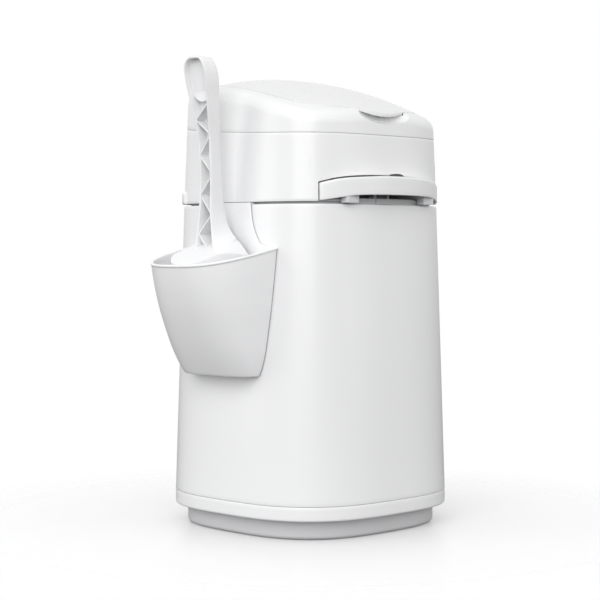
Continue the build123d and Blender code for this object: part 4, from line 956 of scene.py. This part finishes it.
# ------------------------------------------------------------------ scoop
HW = [(8.6, 300.0), (8.2, 312.0), (8.1, 330.0), (8.1, 350.0), (8.4, 365.0), (9.1, 375.0), (10.1, 384.0),
      (11.4, 393.0), (12.8, 404.5), (13.9, 414.0), (14.5, 423.0), (14.2, 430.0), (12.4, 436.0),
      (8.6, 440.3), (4.2, 441.5)]
XO = [(137.4, 250.0), (137.2, 262.0), (137.2, 275.0), (136.9, 290.0), (136.3, 310.0), (135.8, 330.0), (136.6, 350.0), (137.4, 365.0),
      (138.5, 374.0), (140.3, 384.0), (142.4, 393.0), (144.2, 404.0), (146.0, 412.0), (147.4, 419.0), (149.0, 427.0),
      (150.2, 434.0), (150.9, 443.0)]
XI = [(115.2, 250.0), (115.4, 262.0), (115.8, 270.0), (116.6, 283.0), (118.2, 292.0), (119.6, 302.0), (120.4, 312.0), (121.3, 325.0),
      (122.6, 338.0), (123.6, 350.0), (124.4, 365.0), (125.2, 374.0), (126.4, 384.0), (128.0, 393.0), (129.3, 404.0),
      (130.5, 412.0), (131.5, 420.0), (132.9, 428.0), (134.6, 434.0), (135.6, 443.0)]
ZIG = [(-9.5, 398.0), (9.0, 384.0), (-8.0, 370.5), (8.0, 352.0), (-8.0, 334.0), (8.0, 315.5), (-8.0, 297.0), (9.5, 279.5), (-6.0, 262.0)]
SHOULDER = [(8.4, 306.0), (8.8, 300.0), (9.9, 292.0), (12.6, 285.0), (17.5, 278.5), (23.2, 273.4), (30.0, 267.0), (35.3, 261.6)]
BLADE = [(160.0, 24.0, 15.5, 2.3, -117.5), (180.0, 27.5, 25.0, 2.3, -116.8), (205.0, 31.0, 36.0, 2.3, -116.2),
         (230.0, 33.8, 45.5, 2.3, -115.8), (255.0, 36.0, 51.5, 2.3, -115.5), (285.0, 37.5, 55.0, 2.3, -115.4)]
_xo = spline([z for _, z in XO], [x for x, _ in XO])
_xi = spline([z for _, z in XI], [x for x, _ in XI])
_side = [(16.0, 256.0), (13.6, 266.0), (11.4, 278.0), (9.8, 290.0)] + HW


def bow_line(n):
    """Outer line of the handle's band, from the right foot over the top to the left foot."""
    pts = _side + [(0.0, 441.7)] + [(-y, z) for y, z in reversed(_side)]
    s = np.concatenate([[0], np.cumsum([math.hypot(q[0] - p[0], q[1] - p[1]) for p, q in zip(pts[:-1], pts[1:])])])
    fy, fz = spline(s, [p[0] for p in pts]), spline(s, [p[1] for p in pts])
    u = np.linspace(0, s[-1], n)
    return np.stack([fy(u), fz(u)], 1)


def build_scoop():
    L = bow_line(520)
    T = np.gradient(L, axis=0)
    T /= np.linalg.norm(T, axis=1)[:, None]
    N = np.stack([T[:, 1], -T[:, 0]], 1)           # outward in the y-z plane
    ysh = spline([z for _, z in reversed(SHOULDER)], [y for y, _ in reversed(SHOULDER)])
    z = L[:, 1]
    flare = np.where(z < 300.0, np.maximum(ysh(np.clip(z, 261.6, 306.0)) - np.abs(L[:, 0]), 0.0), 0.0)
    flare = np.where(z < 261.6, flare[np.argmin(np.abs(z - 261.6))], flare)
    x0, x1 = -_xo(z), -_xi(z)
    rows_ = []
    e = 0.55
    # section of the band: (share of the depth from front to back, inset in x, offset inwards)
    sect = [(0, e, 0), (0, 0.16, 0.16), (0, 0, e), (0, 0, 2.0 - e), (0, 0.16, 1.84), (0, e, 2.0), (1, -e, 2.0), (1, -0.16, 1.84),
            (1, 0, 2.0 - e), (1, 0, e), (1, -0.16, 0.16), (1, -e, 0)] + [(f, 0, 0) for f in (0.8, 0.6, 0.4, 0.2)]
    for f, dx, off in sect:
        x = x0 + (x1 - x0) * f + dx
        share = np.clip((x - x0) / (x1 - x0), 0, 1)
        y = L[:, 0] - N[:, 0] * off
        zz = L[:, 1] - N[:, 1] * off
        grow = flare * share ** 1.15 * (1.0 if off < 1.0 else 0.0)
        y = y + np.sign(L[:, 0]) * grow
        rows_.append(np.stack([x, y, zz], 1))
    P = np.array(rows_).transpose(1, 0, 2)
    band = raw("band", [add_grid(P, wrap_cols=True, cap_first=True, cap_last=True)])

    def deck(lift):
        return [(-100.0, 285.4 - 2.5 + lift), (-180.0, 285.4 - 2.5 + lift - 80.0 * 38.2 / 75.0), (-180.0, 100.0), (-100.0, 100.0)]

    boolean(band, raw("d", [extruded(deck(0.6), "y", -70, 70)]))

    # web between the flanges, and the dished panel that closes the bow
    zi = L[:, 1] - N[:, 1] * 2.0
    yi = np.abs(L[:, 0] - N[:, 0] * 2.0)
    half_ = len(L) // 2
    order = np.argsort(zi[:half_])
    inner = lambda q: np.interp(q, zi[:half_][order], yi[:half_][order])
    webs = []
    zs = np.linspace(262.0, 439.2, 150)
    loops = []
    for q in zs:
        h = inner(q) + 0.6
        xf, xb = -(_xi(q) + 3.6), -(_xi(q) + 2.0)
        loops.append([(xf, h, q), (xf, -h, q), (xb, -h, q), (xb, h, q)])
    web = raw("web", [add_grid(np.array(loops, float), wrap_cols=True, cap_first=True, cap_last=True)])
    tt = np.linspace(0, math.pi, 49)
    hole = [(-12.6 * math.cos(a), 416.0 - 13.6 * math.sin(a)) for a in tt] + [(12.6, 450.0), (-12.6, 450.0)]
    boolean(web, raw("h", [extruded(hole, "x", -200, -100)]))
    boolean(web, raw("d", [extruded(deck(0.6), "y", -70, 70)]))
    webs.append(web)
    vs = np.linspace(-1, 1, 25)
    loops = []
    for q in np.concatenate([401.05 + 15.0 * (1 - np.cos(np.linspace(0.02, math.pi / 2, 26))), np.linspace(416.6, 439.3, 34)]):
        h = inner(q) + 0.6
        if q < 416.0:
            h = min(h, 14.0 * math.sqrt(max(1 - ((416.0 - q) / 15.0) ** 2, 0.0004)))
        xf = -(_xo(q) - 5.0) + 2.2 * (1 - vs ** 2) * min(1.0, (q - 400.0) / 10.0)
        loops.append(np.concatenate([np.stack([xf, vs * h, np.full(25, q)], 1),
                                     np.stack([xf[::-1] + 1.6, vs[::-1] * h, np.full(25, q)], 1)]))
    webs.append(raw("dish", [add_grid(np.array(loops), wrap_cols=True, cap_first=True, cap_last=True)]))
    loops = []
    for a in np.linspace(-0.25, math.pi + 0.25, 61):
        ca, sa = math.cos(a), math.sin(a)
        o, i = (14.0 * ca, 416.0 - 15.0 * sa), (12.6 * ca, 416.0 - 13.6 * sa)
        xf, xb = -(_xo(o[1]) - 5.6), -(_xi(o[1]) + 2.0)
        loops.append([(xf, o[0], o[1]), (xb, o[0], o[1]), (xb, i[0], i[1]), (xf, i[0], i[1])])
    webs.append(raw("rim", [add_grid(np.array(loops), wrap_cols=True, cap_first=True, cap_last=True)]))

    ribs = []
    for (ya, za), (yb, zb) in zip(ZIG[:-1], ZIG[1:]):
        n = 12
        k = np.linspace(0, 1, n)
        ln = math.hypot(yb - ya, zb - za)
        ny, nz = -(zb - za) / ln * 0.65, (yb - ya) / ln * 0.65
        loops = []
        for i in range(n):
            y, q = ya + (yb - ya) * k[i], za + (zb - za) * k[i]
            y = float(np.clip(y, -inner(q) - 0.8, inner(q) + 0.8))
            xf, xb = -(_xo(q) - 0.9), -(_xi(q) + 2.2)
            loops.append([(xf + 0.25, y - ny, q - nz), (xf, y - 0.6 * ny, q - 0.6 * nz), (xf, y + 0.6 * ny, q + 0.6 * nz),
                          (xf + 0.25, y + ny, q + nz), (xb, y + ny, q + nz), (xb, y - ny, q - nz)])
        ribs.append(raw("rib", [add_grid(np.array(loops), wrap_cols=True, cap_first=True, cap_last=True)]))
    for r in ribs:
        boolean(r, raw("d", [extruded(deck(0.6), "y", -70, 70)]))

    # blade: one loft, opened behind, cut by the sloping deck and the shoulder lines
    zb_ = [b[0] for b in BLADE]
    fw, fd, fc = (spline(zb_, [b[i] for b in BLADE]) for i in (1, 2, 4))
    ts = np.linspace(0, TAU, 180, endpoint=False)

    def shell(off, z0, z1, n):
        out = []
        for q in np.linspace(z0, z1, n):
            a, b = float(fd(q)) - off, float(fw(q)) - off
            r = (np.abs(np.cos(ts) / a) ** 2.3 + np.abs(np.sin(ts) / b) ** 2.3) ** (-1 / 2.3)
            out.append(np.stack([float(fc(q)) + r * np.cos(ts), r * np.sin(ts), np.full(len(ts), q)], 1))
        return add_grid(np.array(out), wrap_cols=True, cap_first=True, cap_last=True)

    zsh = spline([y for y, _ in SHOULDER], [q for _, q in SHOULDER])

    def above(drop):
        """Everything over the deck, which rounds off into the shoulder lines at both sides."""
        xs, ys = np.linspace(-190.0, -90.0, 81), np.linspace(-60.0, 60.0, 161)
        X, Y = np.meshgrid(xs, ys, indexing="ij")
        a = 285.4 + (X + 100.0) * 38.2 / 75.0
        y = np.abs(Y)
        b = np.where(y < 35.3, zsh(np.clip(y, 8.4, 35.3)), 261.6 - (y - 35.3) * 0.874)
        b = np.where(y < 8.4, 306.0, b)
        k = 9.0
        h = np.maximum(k - np.abs(a - b), 0) / k
        Z = np.minimum(a, b) - h * h * k / 4 - drop
        top_ = np.stack([X, Y, np.full_like(Z, 340.0)], 2)
        S = np.stack([X, Y, Z], 2)
        V, F = [], []
        for G, flip in ((S, True), (top_, False)):
            base = sum(len(v) for v in V)
            v, f = add_grid(G)
            V.append(v)
            F.extend([tuple(base + i for i in (reversed(q) if flip else q)) for q in f])
        loop = lambda G: np.concatenate([G[0, :], G[1:, -1], G[-1, -2::-1], G[-2:0:-1, 0]])
        base = sum(len(v) for v in V)
        v, f = add_grid(np.array([loop(S), loop(top_)]), wrap_cols=True)
        V.append(v)
        F.extend([tuple(base + i for i in q) for q in f])
        return raw("above", [(np.vstack(V), F)])

    blade = raw("blade", [shell(0.0, 160.0, 285.0, 48)])
    boolean(blade, raw("c", [extruded([(-117.5, 150.0), (-115.4, 290.0), (-50.0, 290.0), (-50.0, 150.0)], "y", -60, 60)]))
    boolean(blade, above(0.0))
    soften(blade, 0.9, 3, 30.0)
    hollow = raw("i", [shell(2.0, 157.0, 285.0, 48)])
    boolean(hollow, above(2.5))
    boolean(blade, hollow)
    for y in (-22.0, -11.0, 0.0, 11.0, 22.0):
        boolean(blade, raw("c", [block(-200, -118.5, y - 2.6, y + 2.6, 172.0, 233.0)]))
    bar = raw("bar", [block(-117.8, -115.4, -35.0, 35.0, 256.0, 262.0)])
    done(join("scoop", [band] + webs + ribs + [blade, bar]), "scoop_shell", "scoop", M_SCOOP, sharp=34.0)
# --------------------------------------------------------------- carried nodes
build_base()
build_pail()
build_ring()
build_cover()
build_lid()
build_handle()
build_holder()
build_scoop()

PAINT = {
    "scoop": M_SCOOP, "lid_gasket": M_RUBBER, "front_jaw_lip": M_RUBBER, "rear_jaw_lip": M_RUBBER, "lid_liner": M_LIGHT,
    "lid_latch_tab": M_TAB, "guide_deck": M_LIGHT, "cassette_well": M_HOLDER, "cassette_tray": M_LIGHT, "cassette_cap": M_LIGHT,
    "film_pack": M_FILM, "mechanism_tray": M_LIGHT, "pinion_right": M_GREY, "pinion_left": M_GREY, "head_latch": M_GREY,
    # the release button's near-black colour is painted shade for the dark spot above the handle
    "film_cutter_body": M_GREY, "film_cutter_blade": M_BLADE, "jaw_slide": M_LIGHT, "rear_jaw": M_LIGHT, "release_button": M_DARK_BUTTON_SHADE,
    "rear_hinge_pins": M_STEEL_X, "lid_hinge_pin": M_STEEL_X, "latch_pin": M_STEEL_X, "latch_strike": M_BLADE,
    "pinion_axles": M_STEEL_Z, "housing_screws": M_STEEL_Z, "handle_screws": M_STEEL_Z,
    "return_spring_left": M_SPRING, "return_spring_right": M_SPRING,
}
for name, obj in NODES.items():
    if obj.hide_render:
        continue
    obj.data.materials.clear()
    obj.data.materials.append(PAINT[name])
    for p in obj.data.polygons:
        p.material_index = 0
        p.use_smooth = True
    obj.data.set_sharp_from_angle(angle=math.radians(28.0))

# ------------------------------------------------------------- floor and light
SIDES = 1.0
ABOVE = 0.62
UNDER = 0.12
FLOOR_GLOW = 0.02


def floor():
    me = bpy.data.meshes.new("floor")
    n, size = 40, 3.0
    v = [((i / n - 0.5) * 2 * size, (j / n - 0.5) * 2 * size, -0.0002) for i in range(n + 1) for j in range(n + 1)]
    f = [(i * (n + 1) + j, (i + 1) * (n + 1) + j, (i + 1) * (n + 1) + j + 1, i * (n + 1) + j + 1) for i in range(n) for j in range(n)]
    me.from_pydata(v, [], f)
    o = bpy.data.objects.new("floor", me)
    bpy.context.scene.collection.objects.link(o)
    m = Mat("studio_floor", 0.3, spec=0.3)
    # the floor is white to look at, and throws less of its light back up under the object
    direct = m.node("ShaderNodeLightPath").outputs["Is Camera Ray"]
    tone = m.node("ShaderNodeMix", data_type="RGBA")
    m.link(direct, tone.inputs[0])
    tone.inputs[6].default_value = (0.36, 0.36, 0.365, 1.0)
    m.link(m.ramp(m.noise(1.4, 3.0, 0.5), [(0.3, (0.88, 0.88, 0.885)), (0.7, (0.90, 0.90, 0.905))]), tone.inputs[7])
    m.colour(tone.outputs[2])
    m.b.inputs["Emission Color"].default_value = (1.0, 1.0, 1.0, 1.0)
    m.b.inputs["Emission Strength"].default_value = FLOOR_GLOW
    # the floor melts into the white surroundings away from the object
    length = m.node("ShaderNodeVectorMath", operation="LENGTH")
    m.link(m.co, length.inputs[0])
    m.link(m.spread(length.outputs["Value"], 0.13, 0.42, 0.85, 0.0), m.b.inputs["Alpha"])
    me.materials.append(m.m)


def area(name, at, to, size, power, size_y=None, colour=(1, 1, 1)):
    l = bpy.data.lights.new(name, "AREA")
    l.shape = "RECTANGLE"
    l.size, l.size_y = size, size_y or size
    l.energy = power
    l.color = colour
    o = bpy.data.objects.new(name, l)
    bpy.context.scene.collection.objects.link(o)
    at, to = Vector(at), Vector(to)
    o.matrix_world = Matrix.Translation(at) @ (to - at).to_track_quat("-Z", "Y").to_matrix().to_4x4()
    return o


floor()
AZ, TILT = math.radians(-44.689), math.radians(1.785)
right = Vector((math.cos(AZ), math.sin(AZ), 0))
back = Vector((math.sin(AZ), -math.cos(AZ), 0))
fwd = -back * math.cos(TILT) - Vector((0, 0, 1)) * math.sin(TILT)
up = right.cross(fwd)
eye = back * 1.64272 + Vector((0, 0, 0.266915))

# lights placed by how far right, towards the camera and up they are
def spot(r, b, z):
    return right * r + back * b + Vector((0, 0, z))


area("key", spot(-0.45, 2.2, 1.3), (0, 0, 0.34), 2.2, 38.0)
area("left", spot(-1.7, 0.3, 0.7), (0, 0, 0.25), 0.9, 5.0, size_y=1.3)
area("right", spot(1.7, 0.5, 0.7), (0, 0, 0.25), 0.9, 3.0, size_y=1.3)

world = bpy.data.worlds.new("studio")
bpy.context.scene.world = world
world.use_nodes = True
wt = world.node_tree
bg = wt.nodes["Background"]
bg.inputs["Color"].default_value = (1.0, 1.0, 1.0, 1.0)
bg.inputs["Strength"].default_value = 1.0
# soft light from all round above the floor, little from below it
wc = wt.nodes.new("ShaderNodeTexCoord")
sep = wt.nodes.new("ShaderNodeSeparateXYZ")
ramp = wt.nodes.new("ShaderNodeMapRange")
for k, v in zip(("From Min", "From Max", "To Min", "To Max"), (-0.12, 0.12, UNDER, SIDES)):
    ramp.inputs[k].default_value = v
wt.links.new(wc.outputs["Generated"], sep.inputs["Vector"])
wt.links.new(sep.outputs["Z"], ramp.inputs["Value"])
fade = wt.nodes.new("ShaderNodeMapRange")
for k, v in zip(("From Min", "From Max", "To Min", "To Max"), (0.12, 1.0, 1.0, ABOVE / SIDES)):
    fade.inputs[k].default_value = v
wt.links.new(sep.outputs["Z"], fade.inputs["Value"])
both = wt.nodes.new("ShaderNodeMath")
both.operation = "MULTIPLY"
wt.links.new(ramp.outputs["Result"], both.inputs[0])
wt.links.new(fade.outputs["Result"], both.inputs[1])
wt.links.new(both.outputs["Value"], bg.inputs["Strength"])
seen = wt.nodes.new("ShaderNodeBackground")
seen.inputs["Color"].default_value = (1.0, 1.0, 1.0, 1.0)
mixer = wt.nodes.new("ShaderNodeMixShader")
path = wt.nodes.new("ShaderNodeLightPath")
wt.links.new(path.outputs["Is Camera Ray"], mixer.inputs["Fac"])
wt.links.new(bg.outputs["Background"], mixer.inputs[1])
wt.links.new(seen.outputs["Background"], mixer.inputs[2])
wt.links.new(mixer.outputs["Shader"], wt.nodes["World Output"].inputs["Surface"])

cam = bpy.data.cameras.new("camera")
cam.sensor_width = 36.0
cam.lens = 36.0 * 1679.05 / 600.0
cam.shift_x = -10.345 / 600.0
cam.clip_start, cam.clip_end = 0.05, 60.0
co = bpy.data.objects.new("camera", cam)
bpy.context.scene.collection.objects.link(co)
co.matrix_world = Matrix.Translation(eye) @ Matrix((
    (right.x, up.x, -fwd.x), (right.y, up.y, -fwd.y), (right.z, up.z, -fwd.z))).to_4x4()
bpy.context.scene.camera = co
bpy.context.scene.view_settings.view_transform = "Standard"
bpy.context.scene.view_settings.look = "None"
